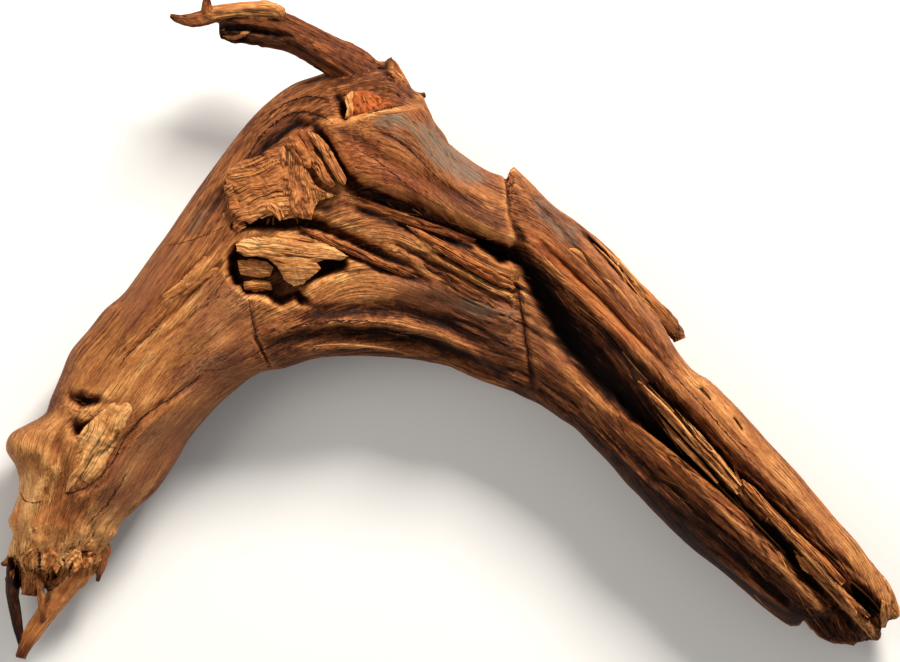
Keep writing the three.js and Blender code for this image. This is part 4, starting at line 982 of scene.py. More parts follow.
def mend_joints(mesh):
    """Where two skins met, new points take the grain and tones beside them, and the crease is worn round."""
    edges = np.empty(len(mesh.edges) * 2, np.int32)
    mesh.edges.foreach_get("vertices", edges)
    edges = edges.reshape(-1, 2)
    both = np.vstack([edges, edges[:, ::-1]])
    known = read(mesh, "kept") > WHOLLY_KEPT
    seam = ~known
    widths = {"grain": 3, **dict.fromkeys(BRANCH_TONE_NAMES, 1), "hollow": 1, "crack": 1}
    fields = {name: read(mesh, name, width) for name, width in widths.items()}
    while not known.all():
        to_new = both[~known[both[:, 0]] & known[both[:, 1]]]
        if not len(to_new):
            break
        targets, first = np.unique(to_new[:, 0], return_index=True)
        for field in fields.values():
            field[targets] = field[to_new[first, 1]]
        known[targets] = True
    for name, field in fields.items():
        mesh.attributes[name].data.foreach_set("vector" if widths[name] == 3 else "value", field.ravel())

    places = np.empty(len(mesh.vertices) * 3)
    mesh.vertices.foreach_get("co", places)
    places = places.reshape(-1, 3)
    softness = seam.astype(float)
    for _ in range(CREASE_REACH):
        np.maximum.at(softness, both[:, 0], 0.8 * softness[both[:, 1]])
    count = np.bincount(both[:, 0], minlength=len(places))
    for _ in range(CREASE_ROUNDS):
        total = np.zeros_like(places)
        np.add.at(total, both[:, 0], places[both[:, 1]])
        places += 0.6 * softness[:, None] * (total / count[:, None] - places)
    mesh.vertices.foreach_set("co", places.ravel())


mend_joints(limb.data)

# What has torn open after that: the mouth of the foot, the far end and the branch's broken
# ends. Holes are cut and the wood crumbles there, over every skin that meets in them.
HOLES = [
    furrow([[291, 117, 1.6, 3], [300, 126, 2, 7], [309, 136, 2, 7], [317, 146, 1.6, 4]]),
    furrow([[6, 280, 3, 5], [9, 287, 3.4, 9], [9, 293, 2.4, 5]]),
    furrow([[23, 289, 2.6, 6], [27, 287.5, 3.4, 12], [30, 285, 2.2, 6]]),
    furrow([[12, 283, 2, 2], [19, 286, 2, 3], [23, 293, 1.8, 3]]),
    furrow([[33, 281, 1.8, 3], [40, 279, 2, 3], [46, 276, 1.6, 2]]),
    furrow([[109, 14, 3, 2], [120, 15, 2.6, 5], [134, 17, 2.4, 4], [146, 19, 1.8, 2]]),
    furrow([[112, 18.5, 2, 2], [122, 20.5, 1.8, 3], [132, 22, 1.6, 2]]),
    furrow([[186, 32, 2, 3], [192, 36, 2.4, 4], [196, 41, 2, 3]]),
    furrow([[426, 291, 3, 4], [431, 298, 5, 8], [436, 305, 4, 6]]),
    furrow([[436, 299, 1.6, 3], [441, 305, 1.8, 4], [446, 311, 1.4, 2]]),
    furrow([[430, 306, 1.6, 3], [436, 311, 1.8, 4], [441, 315, 1.4, 2]]),
]
TORN = [
    plate(1, 5, [
        [0, 277], [14, 279], [24, 283], [34, 280], [50, 272], [56, 276], [50, 294], [30, 302], [8, 302],
        [0, 290],
    ]),
    plate(0.5, 5, [[428, 290], [440, 292], [452, 304], [446, 322], [428, 322], [424, 310]]),
    plate(0.7, 3, [[104, 12], [126, 12], [146, 16], [146, 24], [124, 26], [104, 24]]),
    plate(0.6, 4, [[180, 28], [196, 26], [214, 44], [214, 54], [198, 48], [184, 38]]),
]


CRUMB_HEIGHT = 0.0006


def tear_open(mesh):
    """Cuts the holes, and lets the torn wood crumble: painted highlight on its crests, painted shade in its
    pits and holes.
    """
    count = len(mesh.vertices)
    places, normals = np.empty(count * 3), np.empty(count * 3)
    mesh.vertices.foreach_get("co", places)
    mesh.vertices.foreach_get("normal", normals)
    places, normals = places.reshape(-1, 3), normals.reshape(-1, 3)
    x, y = places[:, 0] * 1000 + MIDDLE[0], MIDDLE[1] - places[:, 1] * 1000
    facing = smooth((normals[:, 2] + 0.1) / 0.5)
    torn = patch(TORN, x, y)
    hole = relief_at(HOLES, x, y, 0.4) * facing
    lumps = random_field(places * 1000 / 2.6, 101) + 0.7 * random_field(places * 1000 / 1.4, 102)
    places += normals * (CRUMB_HEIGHT * torn * lumps)[:, None]
    places[:, 2] += hole / 1000
    mesh.vertices.foreach_set("co", places.ravel())
    dark, hollow, pale = (read(mesh, name) for name in ("dark", "hollow", "pale"))
    # Painted shade in the holes and pits, painted highlight on the crumbs' crests.
    dark = np.clip(dark - 0.08 * hole, 0, 1)
    hollow = np.clip(hollow - 0.35 * torn * lumps - 0.1 * hole, -1, 1)
    pale = np.clip(pale + 0.35 * torn * lumps, 0, 1.4)
    for name, values in (("dark", dark), ("hollow", hollow), ("pale", pale)):
        mesh.attributes[name].data.foreach_set("value", values)


tear_open(limb.data)


LOW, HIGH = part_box("driftwood")
SHARP_EDGE = math.radians(50)


def hold_in_box(piece):
    """Keeps a piece's points inside the solid's box, worn flat where it lies on the ground."""
    places = np.empty(len(piece.data.vertices) * 3)
    piece.data.vertices.foreach_get("co", places)
    held = np.clip(places.reshape(-1, 3), np.array(LOW), np.array(HIGH))
    piece.data.vertices.foreach_set("co", held.ravel())
    piece.data.update()


def round_off(piece):
    """Evens the skin between its faces, apart from the sharp edges of cracks and tears."""
    hold_in_box(piece)
    piece.data.shade_smooth()
    piece.data.set_sharp_from_angle(angle=SHARP_EDGE)


round_off(limb)
limb.name = "driftwood_skin"


# Weathered wood: brown and orange fibres that run with the grain, pale where knots and torn wood are dry,
# grey where the old surface has weathered, and near black with painted shade in hollows and cracks.
class Value:
    """A number or colour on its way through the shader's nodes. Python's operators add Math nodes."""

    def __init__(self, shader, link):
        self.shader = shader
        self.link = link

    def math(self, operation, *values):
        return self.shader.node("ShaderNodeMath", {"operation": operation}, dict(enumerate(values)))

    def __add__(self, other):
        return self.math("ADD", self, other)

    def __sub__(self, other):
        return self.math("SUBTRACT", self, other)

    def __rsub__(self, other):
        return self.math("SUBTRACT", other, self)

    def __mul__(self, other):
        return self.math("MULTIPLY", self, other)

    __radd__ = __add__
    __rmul__ = __mul__

    def size(self):
        return self.math("ABSOLUTE", self)

    def between(self, low, high):
        """0 at low, 1 at high, held beyond them and smooth between."""
        settings = {"interpolation_type": "SMOOTHSTEP"}
        return self.shader.node("ShaderNodeMapRange", settings, {0: self, 1: low, 2: high, 3: 0.0, 4: 1.0})


class Shader:
    """A material whose nodes are added by one method."""

    def __init__(self, name):
        self.material = bpy.data.materials.new(name)
        self.material.use_nodes = True
        self.tree = self.material.node_tree
        self.surface = self.tree.nodes["Principled BSDF"]

    def feed(self, socket, value):
        if isinstance(value, Value):
            self.tree.links.new(value.link, socket)
        else:
            socket.default_value = value

    def node(self, kind, settings, inputs, output=0):
        made = self.tree.nodes.new(kind)
        for name, setting in settings.items():
            if name == "stops":
                for position, tone in setting[2:]:
                    made.color_ramp.elements.new(position)
                for stop, (position, tone) in zip(made.color_ramp.elements, sorted(setting)):
                    stop.position, stop.color = position, tone
            else:
                setattr(made, name, setting)
        for name, value in inputs.items():
            self.feed(made.inputs[name], value)
        return Value(self, made.outputs[output])

    def kept(self, name, output="Fac"):
        """A tone, or the grain, that the mesh keeps at each point."""
        return self.node("ShaderNodeAttribute", {"attribute_name": name}, {}, output)

    def mix(self, share, first, second):
        return self.node("ShaderNodeMix", {"data_type": "RGBA"}, {0: share, 6: first, 7: second}, 2)

    def streaks(self, grain, length, width, detail, shift=0.0):
        """Noise drawn out along the grain, about -0.5 to 0.5."""
        squeeze = self.node(
            "ShaderNodeVectorMath", {"operation": "MULTIPLY_ADD"},
            {0: grain, 1: (1 / length, 1 / width, 1 / width), 2: (shift, shift, shift)},
        )
        sizes = {"Vector": squeeze, "Scale": 1.0, "Detail": detail, "Roughness": 0.6}
        return self.node("ShaderNodeTexNoise", {}, sizes) - 0.5


def colour(red, green, blue):
    """A colour given in screen values from 0 to 255, as the shader takes it."""
    linear = [((v / 255 + 0.055) / 1.055) ** 2.4 if v > 10 else v / 3294 for v in (red, green, blue)]
    return (*linear, 1)


WOOD_TONES = [
    (0.0, colour(15, 5, 1)), (1.0, colour(232, 174, 108)), (0.2, colour(48, 20, 7)),
    (0.4, colour(100, 52, 23)), (0.58, colour(146, 87, 46)), (0.76, colour(184, 120, 64)),
]
GREY_WOOD = colour(112, 92, 74)
RED_WOOD = colour(182, 88, 34)
MAUVE_WOOD = colour(124, 73, 49)
SCRATCH = colour(206, 142, 84)
# Near-black painted shade for cracks, fissures and ticks.
CRACK_SHADE = colour(24, 9, 3)


def weathered_wood():
    wood = Shader("weathered_wood")
    grain = wood.kept("grain", "Vector")
    dark, hollow, crack = wood.kept("dark"), wood.kept("hollow"), wood.kept("crack")
    pale, grey, mauve = wood.kept("pale"), wood.kept("grey"), wood.kept("mauve")
    reddish, wear = wood.kept("reddish"), wood.kept("wear")
    bands = wood.streaks(grain, 170, 11, 2)
    streaks = wood.streaks(grain, 80, 2.6, 3, 7.3)
    fibres = wood.streaks(grain, 36, 0.7, 2, 3.1)
    blotches = wood.streaks(grain, 22, 13, 3, 11.9)
    grit = wood.streaks(grain, 2.6, 1.0, 3, 5.7)
    lines = wood.streaks(grain, 110, 3.0, 2, 19.7)
    scratches = wood.streaks(grain, 60, 0.9, 1, 23.3)
    ticks = wood.streaks(grain, 8, 1.5, 2, 29.1)
    fissures = (1 - lines.size().between(0.004, 0.03)) * blotches.between(-0.05, 0.07)

    lightness = 0.54 + bands * 0.5 + streaks * (0.14 + wear * 0.5) + fibres * (0.38 + wear * 0.35)
    lightness = lightness + blotches * 0.6 + grit * 0.5
    # Cavity shade: painted shade in hollows, painted highlight on ridges.
    lightness = lightness + pale * 0.24 - dark * (0.46 + streaks * 0.3) - hollow * 0.24
    tone = wood.node("ShaderNodeValToRGB", {"stops": WOOD_TONES}, {0: lightness})
    shade = lightness.between(0.0, 0.55)
    tone = wood.mix(mauve * 0.75 * shade, tone, MAUVE_WOOD)
    tone = wood.mix(reddish * 0.6 * shade, tone, RED_WOOD)
    grey_patches = (grey + streaks * 2.0 + blotches * 2.5 - 0.35).between(0.0, 0.8)
    tone = wood.mix(grey_patches * grey * shade, tone, GREY_WOOD)
    tone = wood.mix(scratches.between(0.17, 0.26) * wear * 0.5 * shade, tone, SCRATCH)
    # Painted shade: fissures, cracks and ticks are darkened towards near black.
    tone = wood.mix(fissures * (0.5 + wear * 0.3), tone, CRACK_SHADE)
    tone = wood.mix(crack.between(0.2, 0.9) * 0.65, tone, CRACK_SHADE)
    tone = wood.mix(ticks.between(0.15, 0.25) * 0.55, tone, CRACK_SHADE)

    height = fibres * 0.9 + streaks * 0.7 + grit * 0.5
    height = height - fissures * (0.15 + wear * 0.3) - ticks.between(0.15, 0.25) * 0.2
    bump = wood.node("ShaderNodeBump", {}, {"Height": height, "Strength": 0.9, "Distance": 0.0011})
    wood.feed(wood.surface.inputs["Base Color"], tone)
    wood.feed(wood.surface.inputs["Roughness"], 0.5 + wear * 0.25 + fibres * 0.5 - grey * 0.12)
    wood.feed(wood.surface.inputs["Normal"], bump)
    wood.surface.inputs["Specular IOR Level"].default_value = 0.14
    return wood.material


WOOD = weathered_wood()


def dress(piece):
    """Gives a piece its wood, hangs it on the root body, and hides the solid that it stands for."""
    piece.data.materials.clear()
    piece.data.materials.append(WOOD)
    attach(piece, "root")
    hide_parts("driftwood")


dress(limb)


# The knots and slats: lumps of loose wood left standing where the rest has worn away. They grew
# with the limb and are rooted in it; their sides are torn, and their fibres run their own way.
# Each: (outline, heading of its fibres in degrees, rise over the limb, height of its sides,
# fineness of its layers in mm, how crumbly it is, roundness of its top, dark, pale, reddish).
BLOCKS = {
    "upper_knot": ([
        [113.5, 88], [117, 84], [121.5, 81], [129, 78.5], [137, 74.5], [143, 72], [147, 74], [149, 82],
        [149, 92], [151, 100], [150, 106], [149, 109.6], [142, 110.5], [138, 108], [131, 109.5], [126, 112],
        [120, 110], [117.5, 105], [115, 100], [116.5, 96], [113.5, 92],
    ], -16, 6, 14, 2.6, 0.7, 2, 0, 0.66, 0.08),
    "knot_core": ([
        [140, 76], [145, 71], [150, 78], [155, 86], [158, 93], [163, 96.5], [169, 98.5], [160.5, 101],
        [157.5, 105], [156.5, 110.5], [149, 109], [143.5, 108], [145, 102], [139, 97], [142, 91], [136.5, 87],
        [139.5, 81],
    ], 78, 6.6, 14, 1.5, 1.7, 2, 0.02, 0.5, 0.12),
    "nose": ([
        [143, 73], [146, 68], [151, 65.5], [156, 67], [159, 71.5], [159, 79], [155.5, 85], [151, 84],
        [147.5, 79],
    ], 60, 9, 16, 2.6, 1.4, 3, 0.05, 0.35, 0.3),
    "outer_slat": ([
        [154, 66.5], [159.5, 68], [164.5, 73.5], [169, 81], [174, 90.5], [173, 93.5], [169.5, 91.5],
        [165.5, 85], [161, 77], [156.5, 71.5],
    ], 60, 9.5, 16, 1.6, 0.4, 2, 0, 0.5, 0.15),
    "inner_slat": ([
        [156, 73], [160.5, 79], [164.5, 86.5], [168.5, 93], [166.5, 94.5], [162, 92], [158, 86], [154.5, 79],
    ], 60, 7.6, 16, 1.6, 0.6, 2, 0, 0.4, 0.2),
    "curled_chip": ([
        [134, 103], [138, 101.5], [141.5, 104], [142.8, 109], [140.8, 111], [138, 108], [135, 106],
    ], 55, 8.6, 12, 1.2, 0.4, 1, 0, 0.7, 0.1),
    "left_crumb": ([
        [112.5, 93], [116.5, 92], [118, 96], [116, 99], [113, 97],
    ], -30, 6.4, 10, 1.4, 1, 1, 0, 0.4, 0.2),
    "lower_crumb": ([
        [115, 101], [120, 100.5], [121, 105], [119, 108], [115.5, 105],
    ], -30, 5.4, 10, 1.4, 1, 1, 0, 0.3, 0.3),
    "bottom_crumb": ([
        [117.5, 110.5], [123, 109.5], [124, 114], [120.5, 117], [117, 114],
    ], -50, 3, 10, 1.2, 1, 1, 0.1, 0.2, 0.4),
    "lower_knot": ([
        [118.5, 122.5], [124, 119.5], [131, 119], [141, 117.8], [149, 117.3], [161, 121], [169, 125],
        [174.5, 128.5],
        [171, 130.5], [164, 130], [159, 131.5], [161, 134.5], [157, 138], [152, 142.5], [147.5, 143],
        [142.5, 140], [140, 134], [135, 129.6], [129, 128.4], [123, 128.6], [119.5, 126],
    ], 6, 2.2, 20, 4.4, 0.6, 1.5, 0, 0.85, 0.06),
    "slatted_crumb": ([
        [119.5, 130.5], [127, 129.8], [134, 131], [137, 134], [136, 138.4], [129, 138.8], [121, 137.4],
    ], 4, -2, 16, 1.7, 0.5, 1, 0, 0.6, 0.1),
    "lowest_crumb": ([
        [122.5, 141], [129, 139.8], [136, 141], [136.5, 145], [128, 146], [123, 144.8],
    ], 2, -4, 14, 1.5, 0.5, 1, 0, 0.6, 0.1),
    "crack_ridge": ([
        [150, 113.5], [160, 117], [172, 121.5], [185, 127], [198, 133.5], [211, 139.5], [200, 138],
        [186, 132], [172, 126], [160, 121.2],
    ], 25, -0.2, 10, 1.6, 0.4, 1.5, 0.15, 0.05, 0.25),
    "upper_fibre": ([
        [174, 97], [190, 102.5], [205, 108], [221, 113.5], [238, 120], [236, 122.5], [220, 117.5],
        [204, 112.5], [189, 107], [176, 102.5],
    ], 19, 0.6, 10, 1.5, 0.4, 1.2, 0.15, 0.05, 0.3),
    "middle_fibre": ([
        [203, 113], [212, 116], [222, 121], [232, 127], [244, 134], [256, 141], [258, 145], [250, 143.5],
        [240, 138.5], [228, 131.5], [221, 127.5], [212, 121.5],
    ], 30, 1.4, 10, 1.5, 0.4, 1.2, 0.05, 0.15, 0.3),
    "grey_fibre": ([
        [212, 132], [226, 138.5], [240, 147], [254, 155], [257.5, 160], [244, 154.5], [230, 147], [218, 140],
    ], 30, 0.6, 10, 1.5, 0.4, 1.2, 0.3, 0, 0.1),
    "torn_flake": ([
        [174.5, 50], [178.5, 46.5], [182, 46], [187, 46.8], [190.5, 49.5], [191, 53.5], [193, 56.4],
        [188, 58.2],
        [180, 59.4], [174.5, 60], [176, 55],
    ], 72, 3, 12, 1.4, 1.7, 1, 0.12, 0, 1),
    "flake_rim": ([
        [172.6, 49.5], [176, 46.4], [178, 47], [176.4, 51], [177.6, 55], [176.5, 59.5], [172.8, 60.6],
        [174, 55],
    ], 80, 3.8, 10, 1.2, 0.8, 0.6, 0, 0.7, 0.3),
    "near_plate": ([
        [68.5, 201.5], [64.6, 212], [59.6, 223.5], [55, 232.5], [51, 238.5], [45.5, 241.6], [40.4, 240.4],
        [37, 245.6], [33.6, 245.4], [34.6, 239.6], [38.4, 233], [39.4, 226.5], [38.6, 219.5], [43, 213.5],
        [48.5, 208.5], [54, 203.2], [61, 199],
    ], -62, 2.5, 9, 5, 0.8, 2.4, 0, 1.4, 0.05),
    "bark_flake": ([
        [108, 131], [111, 137.5], [102.5, 142.5], [92.5, 148.5], [81.5, 152], [80.5, 148.5], [90, 141.5],
        [97.5, 134], [102.5, 128],
    ], -38, 0.5, 8, 4, 0.4, 1.4, 0, 0.55, 0),
    "left_curl": ([
        [9, 272], [13, 271], [17, 273], [19, 279], [17, 285], [14.5, 281], [12.5, 286], [10, 280],
    ], 112, 1.4, 6, 1, 1.1, 1, 0, 1, 0.1),
    "middle_curl": ([
        [21, 276], [26, 274], [30, 277], [31, 283], [28.5, 287], [26, 283], [23.5, 286], [21, 282],
    ], 105, 1, 6, 1, 1.1, 1, 0, 0.9, 0.1),
    "right_curl": ([
        [33, 276], [37, 273], [41, 275], [41.5, 281], [38, 285], [36.5, 281], [34, 285], [32.5, 280],
    ], 118, 1.4, 6, 1, 1.1, 1, 0, 1.5, 0.4),
    "rim_curl": ([
        [43, 272], [47, 269], [52, 270], [52, 275], [48.5, 279], [47, 276], [44, 279.5],
    ], 125, 1, 6, 1, 1.1, 1, 0, 1.5, 0.5),
    "long_sliver": ([
        [319.5, 191], [331, 202.8], [344, 217.4], [357, 232.2], [368.4, 246], [367.4, 246.6], [354.6, 233],
        [341, 219], [329, 205.8],
    ], 47, 4, 12, 1, 0.1, 0.5, 0, 1, 0.05),
    "short_sliver": ([
        [336.5, 203.8], [349, 216], [360.6, 229.4], [370, 241.8], [369.2, 242.4], [358.6, 230.4],
        [346.4, 217.6],
    ], 48, 4, 12, 1, 0.1, 0.5, 0, 1.05, 0),
    "thin_sliver": ([
        [327.5, 206], [338, 217.4], [349, 229.4], [358.4, 240.8], [357.4, 241.2], [346, 230], [335.4, 219],
    ], 47, 3, 12, 1, 0.1, 0.5, 0, 0.8, 0.1),
    "blunt_ridge": ([
        [309, 207], [318, 212], [330, 221], [345, 233], [360, 246], [372, 257], [375.5, 261.5], [373, 265],
        [366, 262.5], [352, 250.5], [338, 239.5], [322, 226.5], [312, 217],
    ], 41, 2.2, 14, 1.8, 0.3, 2, 0.18, 0.05, 0.3),
    "middle_ridge": ([
        [370, 239], [376, 243], [385, 253], [397, 265], [411, 277.5], [422, 290], [419.5, 292], [405, 279],
        [391, 267], [379, 254], [371, 244],
    ], 46, 3.6, 14, 1.6, 0.2, 1.5, 0.08, 0.15, 0.25),
    "leaf_sliver": ([
        [396.5, 277], [402, 278], [413, 287], [426, 299], [435, 307.5], [433, 308.5], [420, 298],
        [407, 288.5],
        [400, 284],
    ], 44, 3.4, 12, 1.3, 0.2, 0.8, 0, 0.5, 0.2),
    "lower_ridge": ([
        [340, 240], [352, 248], [368, 262], [386, 277], [402, 292], [412, 303], [409, 305], [394, 292],
        [376, 276], [358, 261], [344, 248],
    ], 43, 1.2, 12, 1.8, 0.3, 2, 0.2, 0, 0.3),
    "end_tooth": ([
        [440, 299], [444, 301], [444.5, 308], [443, 314], [440.5, 314], [439.5, 306],
    ], 80, 3, 12, 1.2, 0.4, 1, 0, 0.7, 0.1),
}
BLOCK_STEP = 0.42
BLOCK_RINGS = 34
BLOCK_WEAR = 0.7

# Layers coarser than these tear and wear no deeper for it.
COARSE_LAYER = 3
THICK_LAYER = 3.6


def plain_skin():
    """The limb's skin as it was before any relief, to tell how high it runs over a place."""
    count = 60
    turns, places = np.linspace(0, np.pi, count), np.arange(0, len(RIBS) - 1, 0.5)
    t, turn = (grid.ravel() for grid in np.meshgrid(places, turns, indexing="ij"))
    point = limb_point(t, turn)
    point[:, 2] += swell(point[:, 0], point[:, 1], turn) * np.abs(np.sin(turn))
    corners = [i for i in range(len(point) - count) if i % count < count - 1]
    return BVHTree.FromPolygons(point.tolist(), [(i, i + 1, i + count + 1, i + count) for i in corners])


def build_block(name, number, ground):
    outline, heading, rise, depth, layer, crumble, roundness, dark, pale, reddish = BLOCKS[name]
    corners = np.array(outline + outline[:1], float)
    run = np.concatenate([[0], np.cumsum(np.hypot(*np.diff(corners, axis=0).T))])
    places = np.linspace(0, run[-1], max(40, round(run[-1] / BLOCK_STEP)), endpoint=False)
    rim = np.column_stack([np.interp(places, run, corners[:, 0]), np.interp(places, run, corners[:, 1])])
    middle = rim.mean(0)
    if np.sum(rim[:, 0] * np.roll(rim[:, 1], -1) - rim[:, 1] * np.roll(rim[:, 0], -1)) > 0:
        rim = rim[::-1]
    flat = np.column_stack([rim, np.full(len(rim), 7.0 * number)])
    torn = 0.8 * random_field(flat / 2.1, 201) + 0.5 * random_field(flat / 0.9, 202)
    torn *= 0.3 * min(layer, COARSE_LAYER) * min(1, THICK_LAYER / layer)
    rim += unit(rim - middle) * torn[:, None]

    # Two rings stand at the foot of its sides and two at the rim; the others shrink over the top.
    shares = np.concatenate([[0.9, 0.97, 1, 1], 1 - (np.arange(1, BLOCK_RINGS) / BLOCK_RINGS) ** 1.15])
    plan = middle + (rim - middle) * shares[:, None, None]
    x, y = plan[..., 0].ravel(), plan[..., 1].ravel()
    hits = [ground.ray_cast(Vector((a, b, 200)), Vector((0, 0, -1)))[0] for a, b in zip(x, y)]
    skin = np.array([hit.z if hit else np.nan for hit in hits])
    skin[np.isnan(skin)] = np.nanmin(skin)
    way = np.array([math.cos(math.radians(heading)), math.sin(math.radians(heading))])
    place = np.column_stack([x, y, np.full(len(x), 7.0 * number)])
    strays = np.column_stack([random_field(place / 8, 251), random_field(place / 6, 252)])
    bent = plan.reshape(-1, 2) + 2.2 * crumble * strays
    along, aside = bent @ way, bent @ [-way[1], way[0]]
    grain = np.column_stack([along + 900 * number, aside, 0.3 * skin])
    steps = stepped(fibre_field(grain, 9 * layer, layer, 211, 2) * 1.7, 0.65, 0.35)
    cracks = splits(grain, 16 * layer, layer, 221, 0.07, 2)
    cracks *= smooth(2 * random_field(place / [7, 7, 9], 261) + 0.6)
    worn = (1 - 0.4 * crumble) * (0.8 * steps - 1.4 * cracks) + 0.5 * fibre_field(grain, 10, 1.1, 231, 2)
    lumps = 0.9 * random_field(place / [4, 4, 9], 241) + 0.6 * random_field(place / [1.6, 1.6, 9], 242)
    worn += crumble * lumps
    worn = min(1, THICK_LAYER / layer) * worn.reshape(plan.shape[:2])
    edge = smooth((shares[:, None] - 0.82) / 0.2)
    top = skin.reshape(plan.shape[:2]) + rise + worn - roundness * (shares[:, None] ** 3) - 0.5 * edge
    top[0], top[1] = top[2] - depth, top[2] - 0.5 * depth
    rings = np.concatenate([plan, top[..., None]], axis=-1)
    sides = np.zeros(plan.shape[:2])
    sides[:2] = 1
    even = np.ones(plan.shape[:2])
    # Painted shade: the torn sides are darkened, and the top has painted shade in its hollows and painted
    # highlight on its ridges.
    tones = {
        "dark": 0.5 * sides + dark,
        "hollow": np.clip(0.6 * hollowness(worn, 5), -1, 1) * (1 - sides),
        "crack": cracks.reshape(plan.shape[:2]) * (1 - sides),
        "pale": pale * (1 - sides),
        "grey": 0 * even,
        "mauve": 0 * even,
        "reddish": reddish * even,
        "wear": BLOCK_WEAR * even,
    }
    tones = {tone: values.ravel() for tone, values in tones.items()}
    bottom = np.array([*middle, top[0].mean()])
    crest = np.array([*middle, top[-1].mean()])
    return shell(name, rings, grain, tones, (bottom, crest))


GROUND = plain_skin()
for number, name in enumerate(BLOCKS, start=1):
    block = build_block(name, number, GROUND)
    round_off(block)
    dress(block)


# Splinters: thin blades of torn wood, still rooted at one end, that stand along the splits,
# in the channels of the far limb and round the broken ends. Each is laid on the skin under it.
# Long ones are drawn one by one: [x, y, half width] along each.
LONG_SPLINTERS = [
    [[284, 125, 0.6], [287, 126.5, 2], [291, 129.5, 1.6], [293, 132, 0.4]],
    [[300, 138, 0.4], [306, 143, 1.2], [312, 150, 1], [318, 158, 0.3]],
    [[380.5, 254, 0.4], [383, 257, 0.9], [382, 260.5, 0.4]],
    [[112, 18.5, 0.8], [117, 19, 1.8], [122, 18, 1.4], [126, 16.5, 0.4]],
    [[118, 21, 0.6], [123, 22.5, 1.5], [128, 21, 1.2], [133, 19.5, 0.3]],
    [[109, 13, 0.6], [114, 12.5, 1.3], [120, 13.5, 1.1], [127, 14, 0.3]],
    [[318, 190, 0.5], [336, 208, 0.9], [352, 228, 0.8], [367, 245, 0.2]],
    [[322, 191, 0.3], [342, 212, 0.6], [356, 228, 0.5], [369, 243, 0.2]],
    [[339, 206, 0.4], [352, 221, 0.9], [362, 234, 0.7], [369, 242, 0.2]],
    [[370, 239, 0.5], [384, 254, 1.1], [398, 268, 1], [410, 281, 0.3]],
    [[397, 277, 0.3], [404, 284, 1.4], [414, 295, 1.2], [426, 308, 0.8], [436, 319, 0.3]],
    [[372, 246, 0.4], [388, 262, 0.8], [402, 277, 0.6], [414, 291, 0.2]],
    [[344, 226, 0.3], [362, 246, 0.7], [378, 262, 0.6], [392, 276, 0.2]],
    [[152, 173.5, 0.3], [170, 172.5, 0.8], [192, 174, 0.7], [208, 178, 0.2]],
    [[176, 176, 0.3], [196, 178, 0.6], [216, 183, 0.5], [232, 190, 0.2]],
    [[296, 122, 0.3], [306, 132, 0.7], [316, 144, 0.6], [324, 154, 0.2]],
    [[186, 58.6, 0.3], [196, 58, 0.6], [204, 56.6, 0.5], [210, 55, 0.2]],
]

# Two exit holes that an insect left in the outer face, as dark slots flush with the skin: painted shade in
# place of open holes.
EXIT_HOLES = [
    [[348.6, 194, 0.5], [350, 195.4, 1.3], [352.8, 198.4, 1.3], [354.4, 200, 0.5]],
    [[365.4, 208.4, 0.4], [366.6, 210, 1.1], [369, 213.4, 1.1], [370.2, 215, 0.4]],
]

# Open cracks in the skin, as dark jagged lines flush with it: painted shade in place of open cracks.
OPEN_CRACKS = [
    [
        [126, 178, 0.3], [140, 171, 0.9], [156, 167, 1.1], [176, 165.6, 0.9], [196, 167.5, 1],
        [214, 172.5, 0.7], [230, 180, 0.3],
    ],
    [[140, 166, 0.2], [156, 162, 0.5], [172, 160.5, 0.6], [190, 161.5, 0.5], [204, 164, 0.2]],
    [[170, 177, 0.2], [190, 178.5, 0.5], [208, 182.5, 0.5], [222, 188, 0.2]],
    [[222, 158, 0.2], [236, 163, 0.4], [248, 168, 0.4], [256, 172, 0.2]],
    [[60, 184, 0.15], [66, 176, 0.4], [76, 167, 0.4], [84, 157, 0.15]],
    [[44, 262, 0.15], [52, 254, 0.4], [60, 243, 0.4], [64, 236, 0.15]],
    [[176, 74, 0.15], [190, 82, 0.35], [206, 95, 0.35], [222, 105, 0.15]],
    [[270, 96, 0.15], [286, 112, 0.4], [300, 130, 0.4], [314, 150, 0.15]],
    [
        [34.5, 247, 0.3], [45, 242.6, 0.6], [54, 235.6, 0.5], [61.4, 223, 0.6], [70.4, 209.6, 0.6],
        [80, 203, 0.6], [90.6, 195.8, 0.6], [101, 187.5, 0.2],
    ],
    [[125, 148, 0.3], [126.5, 158, 0.45], [129, 167, 0.6], [132, 175, 0.6], [136, 183, 0.3]],
    [[258.5, 138, 0.4], [260, 150, 0.5], [262, 165, 0.6], [264, 180, 0.5], [265, 192, 0.3]],
    [[124, 80, 0.2], [130, 70, 0.5], [139, 61, 0.6], [150, 56.6, 0.6], [160, 58, 0.5], [167, 63, 0.2]],
    [[131, 62, 0.2], [142, 53, 0.4], [154, 49, 0.4], [166, 51, 0.3], [172, 55, 0.2]],
    [[186, 66, 0.2], [196, 69, 0.35], [205, 76, 0.35], [216, 87, 0.3], [226, 96, 0.15]],
    [[172, 98, 0.2], [186, 104, 0.5], [200, 108, 0.5], [214, 112, 0.2]],
    [[84, 123, 0.15], [92, 121.6, 0.3], [102, 118.6, 0.3], [112, 114, 0.15]],
    [[300, 214, 0.2], [316, 228, 0.45], [334, 244, 0.45], [350, 259, 0.2]],
    [[258, 118, 0.2], [268, 130, 0.5], [280, 144, 0.5], [292, 157, 0.2]],
    [[184, 57.8, 0.3], [190, 56.6, 0.7], [196, 55.2, 0.7], [202, 53.8, 0.2]],
    [[330, 182, 0.2], [345, 197, 0.4], [360, 214, 0.4], [376, 232, 0.2]],
    [[360, 222, 0.2], [376, 240, 0.5], [392, 257, 0.5], [406, 272, 0.2]],
    [[196, 22, 0.2], [206, 32, 0.35], [214, 40, 0.35], [220, 46, 0.15]],
    [[10, 246, 0.15], [13, 250, 0.4], [18, 251, 0.3], [22, 250, 0.15]],
]

